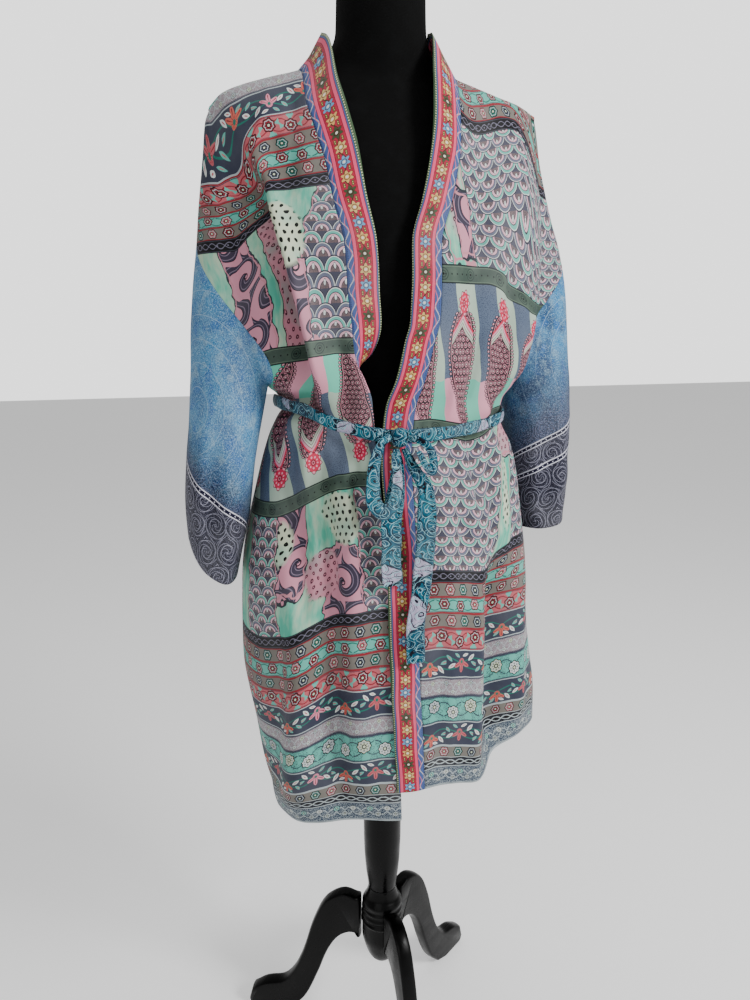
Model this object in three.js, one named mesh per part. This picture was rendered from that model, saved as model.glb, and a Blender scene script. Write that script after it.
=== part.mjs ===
// A kimono jacket, tied with its own belt, on a dress form.
// Millimetres, +Z up. The form's axis is x = y = 0 and its front looks along -Y.
// "Right" and "left" are the wearer's: the right front is at -X and lies under the left one.
import * as THREE from "three";

// Driving dimensions
const CLOTH = 1.2; // thickness of the cloth walls
const SEAM = 0.34; // gap between two sewn pieces
const OVERLAP_LIFT = 5.4; // how far the upper front stands off the lower one
const BAND_SEAM = 0.6; // gap between a band and its front
const BAND_WIDTH = 37;
const BAND_TUCK = 1.9; // gap between the turned-under band and its front
const HEM = 480; // level of the hem, before the shift that each side has
const UNDERARM = 1056; // level where the side seam ends and the armhole starts
const ARMHOLE_TOP = 1235; // level where the armhole seam meets the outer fold
const SHOULDER = 1460; // level of the shoulder fold
const BELT_LEVEL = 1018;
const BELT_HEIGHT = 16;
const BELT_THICKNESS = 4.5;
const GATHERS = 16; // pleats that the belt draws in, all round
const GATHER_DEPTH = 6.5;
const SECTION_POWER = 2.3; // 2 is an ellipse, more is squarer
const TURN_WIDTH = 180; // the ellipse by which a turn round the body is measured
const TURN_DEPTH = 127;
const JOIN_POWER = 3.4; // how sharply the chest's curve passes into the part over the arm's place
const FADE_DEPTH = 22; // folds fade out where the cloth is nearer than this to the shoulder ridge
const FORM_CLEARANCE = 1.8; // outer face of the cloth to the form
const SHOULDER_SLACK = 0.6; // how much wider that is where the shoulders slope
const PANEL_COLUMNS = 14; // columns from a front edge, or from the neck, to the side
const NECK_COLUMNS = 4; // columns of the back from its centre to the neck point
const NECK_CENTRE = 14; // how far behind the axis the neck stands
const NECK_DIP = 46; // how far the back's top dips from the shoulder to the nape
const SLEEVE_ROWS = 9;
const FORM_TOP = 1545;
const FORM_BOTTOM = 760;
const POST_BOTTOM = 265;
const HUB_RADIUS = 32;
const LEG_THICKNESS = 22;
const LEG_ANGLES = [33, -87, 153];
const KNOT_SIZE = { width: 22, depth: 17, height: 24 };
const BELT_ENDS = { left: -3.5, right: -14.5 }; // turns in degrees where the belt enters the knot
const BELT_STEPS = 44;
const BELT_SIDES = 6;
const RADIANS = Math.PI / 180;

// Small helpers for numbers and tables
const clamp = (value, low, high) => Math.min(high, Math.max(low, value));
const mix = (a, b, t) => a + (b - a) * t;
const smooth = (low, high, value) => {
  const t = clamp((value - low) / (high - low), 0, 1);
  return t * t * (3 - 2 * t);
};
const bell = (distance, width) => Math.exp(-0.5 * (distance / width) ** 2);

// A table is a list of rows under named columns; the first column is where each row stands.
// Each other column becomes a smooth function without overshoot.
function table(names, rows) {
  const sorted = [...rows].sort((a, b) => a[0] - b[0]);
  const at = sorted.map((row) => row[0]);
  const result = {};
  names.slice(1).forEach((name, index) => {
    result[name] = monotone(at, sorted.map((row) => row[index + 1]));
  });
  return result;
}

function monotone(xs, ys) {
  const count = xs.length;
  const slope = [];
  for (let i = 0; i < count - 1; i += 1) slope.push((ys[i + 1] - ys[i]) / (xs[i + 1] - xs[i]));
  const tangent = [slope[0]];
  for (let i = 1; i < count - 1; i += 1) {
    const turns = slope[i - 1] * slope[i] <= 0;
    tangent.push(turns ? 0 : (2 * slope[i - 1] * slope[i]) / (slope[i - 1] + slope[i]));
  }
  tangent.push(slope[count - 2]);
  return (x) => {
    if (x <= xs[0]) return ys[0];
    if (x >= xs[count - 1]) return ys[count - 1];
    let i = 0;
    while (x > xs[i + 1]) i += 1;
    const h = xs[i + 1] - xs[i];
    const t = (x - xs[i]) / h;
    const rise = h * t * (1 - t) * ((1 - t) * tangent[i] - t * tangent[i + 1]);
    return mix(ys[i], ys[i + 1], t * t * (3 - 2 * t)) + rise;
  };
}

function steps(from, to, count) {
  return Array.from({ length: count + 1 }, (_, i) => mix(from, to, i / count));
}

// The dress form by height: half width, depth in front of and behind its own centre
const FORM = table(["height", "half", "front", "behind", "centre", "power"], [
  [760, 138, 92, 96, 4, 2.15],
  [800, 158, 104, 108, 4, 2.15],
  [860, 164, 108, 114, 4, 2.15],
  [940, 142, 96, 100, 2, 2.15],
  [1020, 116, 84, 84, 0, 2.15],
  [1100, 128, 92, 88, 0, 2.15],
  [1180, 146, 110, 92, 2, 2.15],
  [1250, 152, 106, 94, 4, 2.15],
  [1320, 166, 90, 90, 8, 2.15],
  [1370, 174, 72, 74, 11, 1.9],
  [1397, 166, 62, 63, 12, 1.55],
  [1412.5, 150, 57, 58, 13, 1.4],
  [1422.5, 126, 54, 55, 14, 1.4],
  [1435, 94, 53, 54, 14, 1.5],
  [1452, 71, 54, 54, 14, 1.8],
  [1485, 57, 55, 55, 14, 2],
  [1545, 55, 55, 55, 14, 2],
]);

function formPoint(height, turn, grow = 0) {
  const across = Math.sin(turn);
  const along = -Math.cos(turn);
  const power = 2 / FORM.power(height);
  const depth = along < 0 ? FORM.front(height) : FORM.behind(height);
  const x = Math.sign(across) * Math.abs(across) ** power * (FORM.half(height) + grow);
  const y = Math.sign(along) * Math.abs(along) ** power * (depth + grow);
  return new THREE.Vector3(x, FORM.centre(height) + y, height);
}

// Moves a point of the cloth straight out from the form's axis, until it clears the form
function clearOfForm(point, gap) {
  if (point.z < FORM_BOTTOM) return point;
  const centre = FORM.centre(point.z);
  const y = point.y - centre;
  const depth = y < 0 ? FORM.front(point.z) : FORM.behind(point.z);
  const power = FORM.power(point.z);
  const across = Math.abs(point.x) / FORM.half(point.z);
  const ratio = (across ** power + (Math.abs(y) / depth) ** power) ** (1 / power);
  const radius = Math.hypot(point.x, y);
  const slope = smooth(1375, 1405, point.z) * (1 - smooth(1450, 1475, point.z));
  const wanted = radius / ratio + gap * (1 + SHOULDER_SLACK * slope);
  if (radius >= wanted || radius < 1) return point;
  const scale = wanted / radius;
  return new THREE.Vector3(point.x * scale, centre + y * scale, point.z);
}

// The jacket's body by level: half depths in front and behind, depth of the part that hangs over
// the arm's place, and the centre line
const BODY = table(["level", "front", "behind", "wing", "centre"], [
  [480, 142, 140, 60, 0],
  [600, 150, 146, 60, 0],
  [760, 151, 144, 60, 0],
  [840, 145, 138, 60, 0],
  [900, 136, 128, 60, 0],
  [960, 122, 114, 60, 0],
  [1000, 113, 102, 60, 0],
  [1035, 109, 97, 59, 0],
  [1056, 113, 98, 57, 0],
  [1120, 124, 102, 52, 0],
  [1180, 127, 106, 48, 1],
  [1260, 117, 106, 45, 4],
  [1330, 102, 96, 42, 8],
  [1380, 85, 82, 37, 11],
  [1415, 65, 64, 31, 13],
  [1440, 43, 43, 21, 14],
  [1452, 25, 25, 12, 14],
  [1460, 0, 0, 0, 14],
]);

// Each side of the body: side is its half width below the underarm, reach how far the chest's curve
// goes above it, inner and fold where the hanging part starts and ends
const SIDES = {
  right: {
    sign: -1,
    body: table(["level", "side", "reach", "inner", "fold"], [
      [480, 163, 163, 158, 258],
      [540, 179, 179, 158, 258],
      [600, 188, 188, 158, 258],
      [706, 203, 203, 158, 258],
      [803, 200, 200, 158, 258],
      [924, 177, 177, 158, 258],
      [990, 158, 158, 158, 258],
      [1012, 147, 147, 158, 258],
      [1030, 135, 135, 158, 257],
      [1046, 147, 147, 158, 257],
      [1056, 158, 158, 158, 256],
      [1080, 158, 174, 146, 254],
      [1120, 158, 186, 136, 252],
      [1170, 158, 196, 130, 247],
      [1235, 158, 202, 126, 239],
      [1300, 158, 204, 124, 234],
      [1400, 158, 205, 122, 225],
      [1440, 158, 205, 122, 221],
      [1460, 158, 205, 122, 214],
    ]),
    drop: table(["x", "fall"], [
      [0, -37], [50, -20], [80, 6], [95, 20], [144, 36], [174, 46], [198, 57], [214, 74],
    ]),
    hem: table(["x", "shift"], [[0, 6], [20, 4], [75, 2], [120, -5], [163, -20]]),
    hemBehind: table(["x", "shift"], [[0, 15], [80, 0], [163, -20]]),
    edge: table(["level", "x"], [
      [480, 19], [600, 26], [700, 34], [850, 40], [950, 44], [1012, 46], [1040, 48], [1066, 58], [1095, 72],
      [1139, 78], [1171, 82], [1224, 84], [1274, 93], [1321, 98], [1363, 105], [1413, 111], [1460, 106],
    ]),
    neck: 106,
    armholePower: 1,
    lift: 0,
  },
  left: {
    sign: 1,
    body: table(["level", "side", "reach", "inner", "fold"], [
      [480, 229, 229, 174, 280],
      [540, 227, 227, 174, 280],
      [600, 219, 219, 174, 280],
      [677, 211, 211, 174, 280],
      [788, 205, 205, 174, 280],
      [875, 195, 195, 174, 280],
      [920, 190, 190, 174, 280],
      [967, 181, 181, 174, 280],
      [996, 168, 168, 174, 280],
      [1012, 162, 162, 174, 279],
      [1034, 166, 166, 174, 278],
      [1056, 174, 174, 174, 277],
      [1080, 174, 190, 162, 275],
      [1120, 174, 201, 150, 272],
      [1170, 174, 207, 140, 268],
      [1235, 174, 210, 134, 256],
      [1290, 174, 210, 130, 242],
      [1350, 174, 210, 126, 231],
      [1400, 174, 210, 124, 224],
      [1440, 174, 208, 122, 221],
      [1460, 174, 208, 122, 218],
    ]),
    drop: table(["x", "fall"], [
      [0, -37], [50, -20], [75, 3], [93, 16], [120, 23], [152, 31], [193, 41], [218, 54],
    ]),
    hem: table(["x", "shift"], [[-40, 50], [20, 50], [64, 42], [95, 36], [130, 52], [180, 64], [229, 66]]),
    hemBehind: table(["x", "shift"], [[0, 15], [80, 34], [229, 66]]),
    edge: table(["level", "x"], [
      [480, 10], [650, -1], [770, -5], [950, -5], [1009, 1], [1037, 6], [1068, 15], [1114, 23], [1133, 28],
      [1168, 30], [1224, 33], [1266, 48], [1327, 66], [1400, 78], [1460, 92],
    ]),
    neck: 92,
    armholePower: 1.5,
    lift: OVERLAP_LIFT,
  },
};

// The largest folds of the fronts and the back: each runs from x at its low level to x at its high
// level, with a width and a depth that is inwards where it is below zero
const FOLD_COLUMNS = ["side", "behind", "lowX", "highX", "low", "high", "width", "depth"];
const FOLDS = [
  ["right", false, 122, 196, 1030, 1350, 11, -21],
  ["right", false, 104, 172, 1040, 1290, 10, 9],
  ["right", false, 150, 160, 1290, 1400, 11, -8],
  ["right", false, 66, 82, 900, 1004, 11, -13],
  ["right", false, 118, 124, 560, 960, 16, -12],
  ["right", false, 86, 84, 520, 900, 13, 8],
  ["right", false, 150, 142, 480, 820, 13, 11],
  ["left", false, 96, 92, 900, 1004, 11, -14],
  ["left", false, 142, 132, 470, 830, 20, -40],
  ["left", false, 88, 84, 470, 800, 17, 10],
  ["left", false, 138, 150, 1045, 1180, 16, 11],
  ["left", false, 60, 96, 1050, 1300, 13, -7],
  ["left", false, 40, 36, 560, 940, 15, 7],
  ["right", true, 60, 40, 520, 980, 20, -14],
  ["right", true, 130, 110, 500, 940, 18, 12],
  ["right", true, 110, 160, 1040, 1330, 15, -15],
  ["left", true, 40, 30, 480, 900, 22, -13],
  ["left", true, 150, 120, 500, 980, 22, 14],
  ["left", true, 100, 158, 1045, 1340, 15, -16],
  ["left", true, 200, 150, 500, 900, 17, -12],
].map((row) => Object.fromEntries(FOLD_COLUMNS.map((name, i) => [name, row[i]])));

function foldDepth(sideName, behind, x, level) {
  let depth = 0;
  for (const fold of FOLDS) {
    if (fold.side !== sideName || fold.behind !== behind) continue;
    const along = (level - fold.low) / (fold.high - fold.low);
    const line = mix(fold.lowX, fold.highX, along);
    const ends = smooth(-0.12, 0.2, along) * (1 - smooth(0.75, 1.1, along));
    depth += fold.depth * ends * bell(x - line, fold.width);
  }
  return depth;
}

// Small waves that grow towards the hem, and the pleats under the belt, by the turn round the body
function waveDepth(turn, x, inner, level) {
  const hang = 1 - smooth(HEM, 900, level);
  const waves = hang * (4.5 * Math.sin(5 * turn + 0.6) + 3.2 * Math.sin(9 * turn + 2.1));
  const above = level > BELT_LEVEL;
  const near = bell(level - BELT_LEVEL, above ? 30 : 52);
  const armhole = smooth(1030, UNDERARM, level) * smooth(0.7 * inner, 0.95 * inner, Math.abs(x));
  const pleats = GATHER_DEPTH * (Math.cos(GATHERS * turn) * 0.5 - 0.5) * near * (1 - armhole);
  return waves + pleats;
}

// Depth of the cloth at x: the chest's curve and the hanging part's curve, joined softly
function sectionDepth(side, behind, level, x) {
  const body = side.body;
  const depth = behind ? BODY.behind(level) : BODY.front(level);
  const reach = level < UNDERARM ? body.side(level) : body.reach(level);
  const chest = depth * Math.max(0, 1 - (Math.abs(x) / reach) ** SECTION_POWER) ** (1 / SECTION_POWER);
  if (level < UNDERARM) return chest;
  const half = (body.fold(level) - body.inner(level)) / 2;
  const middle = body.inner(level) + half;
  const wing = BODY.wing(level) * Math.sqrt(Math.max(0, 1 - ((x - middle) / half) ** 2));
  return (chest ** JOIN_POWER + wing ** JOIN_POWER) ** (1 / JOIN_POWER);
}

// How far a level leans: level at the hem takes the hem's shift, near the shoulder it takes its fall
function heightOf(side, behind, level, x) {
  const shoulder = smooth(1180, SHOULDER, level) * side.drop.fall(Math.abs(x));
  const hem = (behind ? side.hemBehind : side.hem).shift(behind ? Math.abs(x) : x);
  return level - shoulder + hem * clamp((1000 - level) / (1000 - HEM), 0, 1);
}

// A point of the cloth's outer face. x is measured outwards from the centre on that side.
function clothPoint(sideName, behind, level, x, extra = 0) {
  const side = SIDES[sideName];
  const depth = sectionDepth(side, behind, level, x);
  const centre = BODY.centre(level);
  const outer = Math.max(side.body.side(level), 1);
  const along = ((behind ? -1 : 1) * Math.max(depth, 0.001)) / TURN_DEPTH;
  const round = side.sign * Math.atan2(x / TURN_WIDTH, along);
  const inner = side.body.side(UNDERARM);
  const fade = smooth(0, FADE_DEPTH, depth);
  const lift = behind ? 0 : side.lift * (1 - smooth(20, 90, x)) * (1 - smooth(1120, 1240, level));
  const push = (foldDepth(sideName, behind, x, level) + waveDepth(round, x, inner, level)) * fade;
  const away = push + lift + extra;
  const nx = x / (outer * outer);
  const ny = Math.max(depth, 1) / (BODY.front(level) + 1) ** 2;
  const length = Math.hypot(nx, ny);
  const out = new THREE.Vector3(
    side.sign * (x + (away * nx) / length),
    centre + (behind ? 1 : -1) * (depth + (away * ny) / length),
    heightOf(side, behind, level, x),
  );
  return clearOfForm(out, FORM_CLEARANCE);
}

// The armhole seam: how far round the hanging part it has gone at a level, 0 underarm, 1 outer fold
function armholeAt(side, level) {
  const share = clamp((level - UNDERARM) / (ARMHOLE_TOP - UNDERARM), 0, 1);
  return share ** side.armholePower;
}

function wingX(side, level, round) {
  const start = side.body.side(UNDERARM);
  return mix(start, side.body.fold(level), (1 - Math.cos(Math.PI * round)) / 2);
}

function panelEnd(side, level) {
  if (level <= UNDERARM) return side.body.side(level);
  return wingX(side, level, armholeAt(side, level));
}

// Columns crowd together where the cloth turns round the side
function spread(level, q) {
  const armhole = smooth(UNDERARM, 1110, level) * (1 - smooth(1190, ARMHOLE_TOP, level));
  const turned = 1 - 0.75 * armhole;
  return mix(q, Math.sin((Math.PI * q) / 2), turned);
}

const LEVELS = [
  ...steps(HEM, 940, 8).slice(0, -1),
  ...steps(940, UNDERARM, 5).slice(0, -1),
  ...steps(UNDERARM, ARMHOLE_TOP, 7),
  1280, 1325, 1365, 1400, 1428, 1447, SHOULDER,
];

// Walls from grids of outer points. A row of points runs across, and rows follow each other.
function gridNormals(grid, closed) {
  const rows = grid.length;
  const columns = grid[0].length;
  const at = (r, c) => {
    const column = closed ? (c + columns) % columns : clamp(c, 0, columns - 1);
    return grid[clamp(r, 0, rows - 1)][column];
  };
  return grid.map((row, r) => row.map((_, c) => {
    const across = new THREE.Vector3().subVectors(at(r, c + 1), at(r, c - 1));
    const along = new THREE.Vector3().subVectors(at(r + 1, c), at(r - 1, c));
    return across.cross(along).normalize();
  }));
}

function shellGeometry(outer, inner, closed) {
  const rows = outer.length;
  const columns = outer[0].length;
  const points = [...outer.flat(), ...inner.flat()];
  const faces = [];
  const index = (layer, r, c) => layer * rows * columns + r * columns + (c % columns);
  const quad = (a, b, c, d) => faces.push(a, b, c, a, c, d);
  const lastColumn = closed ? columns : columns - 1;
  for (let r = 0; r < rows - 1; r += 1) {
    for (let c = 0; c < lastColumn; c += 1) {
      quad(index(0, r, c), index(0, r, c + 1), index(0, r + 1, c + 1), index(0, r + 1, c));
      quad(index(1, r, c), index(1, r + 1, c), index(1, r + 1, c + 1), index(1, r, c + 1));
    }
  }
  for (let c = 0; c < lastColumn; c += 1) {
    quad(index(0, 0, c), index(1, 0, c), index(1, 0, c + 1), index(0, 0, c + 1));
    quad(index(0, rows - 1, c), index(0, rows - 1, c + 1), index(1, rows - 1, c + 1), index(1, rows - 1, c));
  }
  if (!closed) {
    for (let r = 0; r < rows - 1; r += 1) {
      quad(index(0, r, 0), index(0, r + 1, 0), index(1, r + 1, 0), index(1, r, 0));
      const end = columns - 1;
      quad(index(0, r, end), index(1, r, end), index(1, r + 1, end), index(0, r + 1, end));
    }
  }
  return geometryOf(points, faces);
}

function geometryOf(points, faces) {
  const geometry = new THREE.BufferGeometry();
  const positions = new Float32Array(points.flatMap((point) => [point.x, point.y, point.z]));
  geometry.setAttribute("position", new THREE.BufferAttribute(positions, 3));
  geometry.setIndex(faces);
  geometry.computeVertexNormals();
  return geometry;
}

// A closed body through rings of points, with a flat fan at each end
function ringBody(rings) {
  const count = rings[0].length;
  const points = rings.flat();
  const faces = [];
  for (let r = 0; r < rings.length - 1; r += 1) {
    for (let c = 0; c < count; c += 1) {
      const next = (c + 1) % count;
      const low = r * count;
      const high = low + count;
      faces.push(low + c, low + next, high + next, low + c, high + next, high + c);
    }
  }
  const ends = [rings[0], rings[rings.length - 1]];
  ends.forEach((ring, end) => {
    const middle = new THREE.Vector3();
    ring.forEach((point) => middle.add(point));
    points.push(middle.divideScalar(count));
    const base = end === 0 ? 0 : (rings.length - 1) * count;
    for (let c = 0; c < count; c += 1) {
      const pair = [base + c, base + ((c + 1) % count)];
      if (end === 0) pair.reverse();
      faces.push(pair[0], pair[1], points.length - 1);
    }
  });
  return geometryOf(points, faces);
}

// A wall under the outer points. meetsOther tells where it must not cross into the piece behind.
function wall(grid, closed, meetsOther, thickness = CLOTH) {
  const normals = gridNormals(grid, closed);
  const inner = grid.map((row, r) => row.map((point, c) => {
    const normal = normals[r][c];
    if (meetsOther && meetsOther(r, c)) normal.y = 0;
    normal.normalize();
    return point.clone().addScaledVector(normal, -thickness);
  }));
  return shellGeometry(grid, inner, closed);
}

function frontGrid(sideName) {
  const side = SIDES[sideName];
  return LEVELS.map((level) => {
    const start = side.edge.x(level);
    const end = panelEnd(side, level);
    return steps(0, 1, PANEL_COLUMNS).map((q) => {
      const point = clothPoint(sideName, false, level, mix(start, end, spread(level, q)));
      if (q === 1 || level === SHOULDER) point.y -= SEAM / 2;
      return point;
    });
  });
}

function meetsBack(row, column, lastColumn) {
  const level = LEVELS[row];
  const openSeam = level <= UNDERARM || level >= ARMHOLE_TOP;
  return level === SHOULDER || (column === lastColumn && openSeam);
}

function frontPanel(sideName) {
  const right = sideName === "right";
  const grid = frontGrid(sideName);
  const turned = right ? grid.map((row) => [...row].reverse()) : grid;
  const last = right ? 0 : PANEL_COLUMNS;
  return wall(turned, false, (r, c) => meetsBack(r, c, last));
}

// The back's top dips from the shoulder fold to the nape, between the two neck points
function backLevel(side, level, x) {
  const inside = clamp(x / side.neck, 0, 1);
  const top = SHOULDER - NECK_DIP * (1 - inside ** 2) ** 0.6;
  return HEM + ((level - HEM) * (top - HEM)) / (SHOULDER - HEM);
}

function backHalf(sideName, level) {
  const side = SIDES[sideName];
  const end = panelEnd(side, level);
  const neck = steps(0, side.neck, NECK_COLUMNS);
  const rest = steps(0, 1, PANEL_COLUMNS).slice(1).map((q) => mix(side.neck, end, spread(level, q)));
  return [...neck, ...rest].map((x, i, all) => {
    const point = clothPoint(sideName, true, backLevel(side, level, x), x);
    const ridge = level === SHOULDER && i >= NECK_COLUMNS;
    if (i === all.length - 1 || ridge) point.y += SEAM / 2;
    return point;
  });
}

function backPanel() {
  const grid = LEVELS.map((level) => {
    const left = backHalf("left", level);
    const right = backHalf("right", level);
    return [...left.reverse(), ...right.slice(1)];
  });
  const columns = grid[0].length;
  return wall(grid, false, (r, c) => {
    const fromEnd = Math.min(c, columns - 1 - c);
    const ridge = LEVELS[r] === SHOULDER && fromEnd <= PANEL_COLUMNS;
    return ridge || (fromEnd === 0 && meetsBack(r, 0, 0));
  });
}

// Sleeves: the tube below the underarm by height, and the height of the cuff round it
const SLEEVES = {
  right: {
    tube: table(["level", "inner", "outer", "front", "behind", "centre"], [
      [800, 209, 262, 50, 50, 2],
      [850, 197, 268, 55, 55, 2],
      [900, 186, 270, 58, 58, 2],
      [960, 178, 266, 60, 58, 1],
      [1010, 168, 260, 60, 58, 0],
      [1056, 158, 256, 57, 57, 0],
    ]),
    cuff: table(["round", "level"], [[0, 812], [0.35, 806], [0.7, 822], [1, 862]]),
  },
  left: {
    tube: table(["level", "inner", "outer", "front", "behind", "centre"], [
      [800, 216, 276, 48, 48, 14],
      [850, 211, 286, 52, 54, 14],
      [900, 204, 289, 55, 58, 13],
      [960, 195, 287, 57, 58, 10],
      [1010, 184, 283, 58, 58, 5],
      [1056, 174, 277, 57, 57, 0],
    ]),
    cuff: table(["round", "level"], [[0, 838], [0.35, 840], [0.7, 846], [1, 872]]),
  },
};

// Upright folds of a sleeve: where round it they run, with a height range and a depth
const SLEEVE_FOLDS = [
  { side: "right", behind: false, round: 0.62, low: 850, high: 1120, width: 0.075, depth: -11 },
  { side: "right", behind: false, round: 0.32, low: 800, high: 960, width: 0.1, depth: 7 },
  { side: "right", behind: true, round: 0.5, low: 820, high: 1090, width: 0.09, depth: -9 },
  { side: "left", behind: false, round: 0.45, low: 840, high: 1090, width: 0.09, depth: -9 },
  { side: "left", behind: true, round: 0.55, low: 850, high: 1100, width: 0.09, depth: -8 },
];

function sleeveFold(sideName, behind, round, level) {
  let depth = 0;
  for (const fold of SLEEVE_FOLDS) {
    if (fold.side !== sideName || fold.behind !== behind) continue;
    const ends = smooth(fold.low - 30, fold.low + 40, level) * (1 - smooth(fold.high - 70, fold.high, level));
    depth += fold.depth * ends * bell(round - fold.round, fold.width);
  }
  return depth;
}

function sleevePoint(sideName, behind, level, round) {
  const side = SIDES[sideName];
  if (level >= UNDERARM) return clothPoint(sideName, behind, level, wingX(side, level, round));
  const tube = SLEEVES[sideName].tube;
  const x = mix(tube.inner(level), tube.outer(level), (1 - Math.cos(Math.PI * round)) / 2);
  const half = behind ? tube.behind(level) : tube.front(level);
  const depth = (half + sleeveFold(sideName, behind, round, level)) * Math.sin(Math.PI * round);
  return new THREE.Vector3(side.sign * x, tube.centre(level) + (behind ? 1 : -1) * depth, level);
}

function sleeveColumn(sideName, behind, seamLevel) {
  const side = SIDES[sideName];
  const round = armholeAt(side, seamLevel);
  const cuff = SLEEVES[sideName].cuff.level(round);
  return steps(0, 1, SLEEVE_ROWS).map((t, i) => {
    const point = sleevePoint(sideName, behind, mix(seamLevel, cuff, t), round);
    const gap = SEAM * (1 + 3 * (1 - smooth(UNDERARM, 1150, seamLevel)));
    if (i === 0) point.add(new THREE.Vector3(side.sign * gap, 0, -gap));
    return point;
  });
}

function sleeve(sideName) {
  const stations = LEVELS.filter((level) => level >= UNDERARM && level <= ARMHOLE_TOP);
  const front = stations.map((level) => sleeveColumn(sideName, false, level));
  const behind = stations.slice(1, -1).reverse().map((level) => sleeveColumn(sideName, true, level));
  const around = [...front, ...behind];
  const rows = steps(0, SLEEVE_ROWS, SLEEVE_ROWS).reverse();
  const grid = rows.map((r) => around.map((column) => column[r]));
  return wall(sideName === "left" ? grid : grid.map((row) => [...row].reverse()), true);
}

// The band: it continues each front's edge towards the neck, climbs the shoulder and meets the
// other half behind the neck. The right one turns back under its front below the chest.
const BAND = {
  right: table(["level", "turn", "rise"], [
    [480, 172, 0], [1020, 172, 0], [1045, 160, 0], [1070, 120, 0], [1100, 50, 0], [1140, 12, 0],
    [1200, 0, 2], [1321, 0, 6], [1413, 0, 14], [1440, 0, 24], [1460, 0, 36],
  ]),
  left: table(["level", "turn", "rise"], [
    [480, 0, 0], [1200, 0, 0], [1327, 0, 5], [1400, 0, 12], [1440, 0, 26], [1460, 0, 38],
  ]),
};

function bandFrontRow(sideName, level) {
  const side = SIDES[sideName];
  const edge = side.edge.x(level);
  const turn = BAND[sideName].turn(level) * RADIANS;
  const rise = BAND[sideName].rise(level) * RADIANS;
  const under = (1 - Math.cos(turn)) / 2;
  return steps(0, 1, 2).map((t) => {
    const reach = BAND_SEAM + t * BAND_WIDTH;
    const x = edge - reach * Math.cos(turn) * Math.cos(rise);
    const inwards = -(under * (CLOTH + BAND_TUCK) + reach * Math.sin(turn));
    const base = clothPoint(sideName, false, level, x, inwards);
    base.z += reach * Math.sin(rise);
    return clearOfForm(base, FORM_CLEARANCE);
  });
}

function bandNeckRow(sideName, x) {
  const side = SIDES[sideName];
  const low = clothPoint(sideName, true, backLevel(side, SHOULDER, x), x);
  const inside = 1 - (x / side.neck) ** 2;
  const lean = mix(40, 80, inside) * RADIANS;
  const towards = new THREE.Vector2(-low.x, NECK_CENTRE - low.y).normalize();
  return steps(0, 1, 2).map((t) => {
    const reach = BAND_SEAM + t * (BAND_WIDTH - 3 * inside);
    const flat = reach * Math.cos(lean);
    const point = new THREE.Vector3(
      low.x + towards.x * flat,
      low.y + towards.y * flat,
      low.z + reach * Math.sin(lean),
    );
    return clearOfForm(point, FORM_CLEARANCE);
  });
}

function band(sideName) {
  const side = SIDES[sideName];
  const fronts = LEVELS.map((level) => bandFrontRow(sideName, level));
  const stations = steps(side.neck, 0, NECK_COLUMNS).slice(1);
  const behind = stations.map((x) => bandNeckRow(sideName, x));
  const last = behind[behind.length - 1];
  last.forEach((point) => {
    point.x = (side.sign * SEAM) / 2;
  });
  const grid = [...fronts, ...behind];
  return wall(sideName === "right" ? grid : grid.map((row) => [...row].reverse()), false);
}

// The belt goes round the pleats, from one side of the knot to the other
const KNOT = new THREE.Vector3(-22, -133, 1000);
const BELT = table(["turn", "level"], [
  [-180, 1020], [-120, 1028], [-90, 1036], [-60, 1030], [-30, 1012], [-8, 1001],
  [0, 1000], [10, 1001], [40, 1008], [70, 1014], [90, 1017], [120, 1018], [180, 1020],
]);

function beltCentre(turn, offset) {
  const level = BELT.level(turn / RADIANS);
  const sideName = turn < 0 ? "right" : "left";
  const side = SIDES[sideName];
  const behind = Math.abs(turn) > Math.PI / 2;
  const edges = [level - BELT_HEIGHT / 2, level, level + BELT_HEIGHT / 2];
  const reach = Math.max(...edges.map(side.body.side));
  const x = reach * Math.abs(Math.sin(turn)) ** (2 / SECTION_POWER);
  const depth = Math.max(...edges.map(behind ? BODY.behind : BODY.front))
    * Math.abs(Math.cos(turn)) ** (2 / SECTION_POWER);
  const normal = new THREE.Vector2(side.sign * x / reach ** 2, ((behind ? 1 : -1) * depth) / 110 ** 2);
  normal.normalize();
  const overlap = smooth(-90, -50, side.sign * x) * (1 - smooth(20, 90, side.sign * x));
  const lift = (behind ? 0 : OVERLAP_LIFT * overlap) + offset;
  return new THREE.Vector3(
    side.sign * x + normal.x * lift,
    (behind ? 1 : -1) * depth + normal.y * lift,
    level,
  );
}

function beltWaist() {
  const start = BELT_ENDS.left * RADIANS;
  const end = BELT_ENDS.right * RADIANS - 2 * Math.PI;
  const half = BELT_THICKNESS / 2;
  const rings = steps(end, start, BELT_STEPS).map((turn) => {
    const wrapped = turn < -Math.PI ? turn + 2 * Math.PI : turn;
    const middle = beltCentre(wrapped, CLOTH + half);
    const outer = beltCentre(wrapped, CLOTH + half + 1).sub(middle).setZ(0).normalize();
    return steps(0, BELT_SIDES - 1, BELT_SIDES - 1).map((i) => {
      const angle = (i * 2 * Math.PI) / BELT_SIDES;
      return middle.clone()
        .addScaledVector(outer, half * Math.sin(angle))
        .add(new THREE.Vector3(0, 0, (BELT_HEIGHT / 2) * Math.cos(angle)));
    });
  });
  return ringBody(rings);
}

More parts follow.
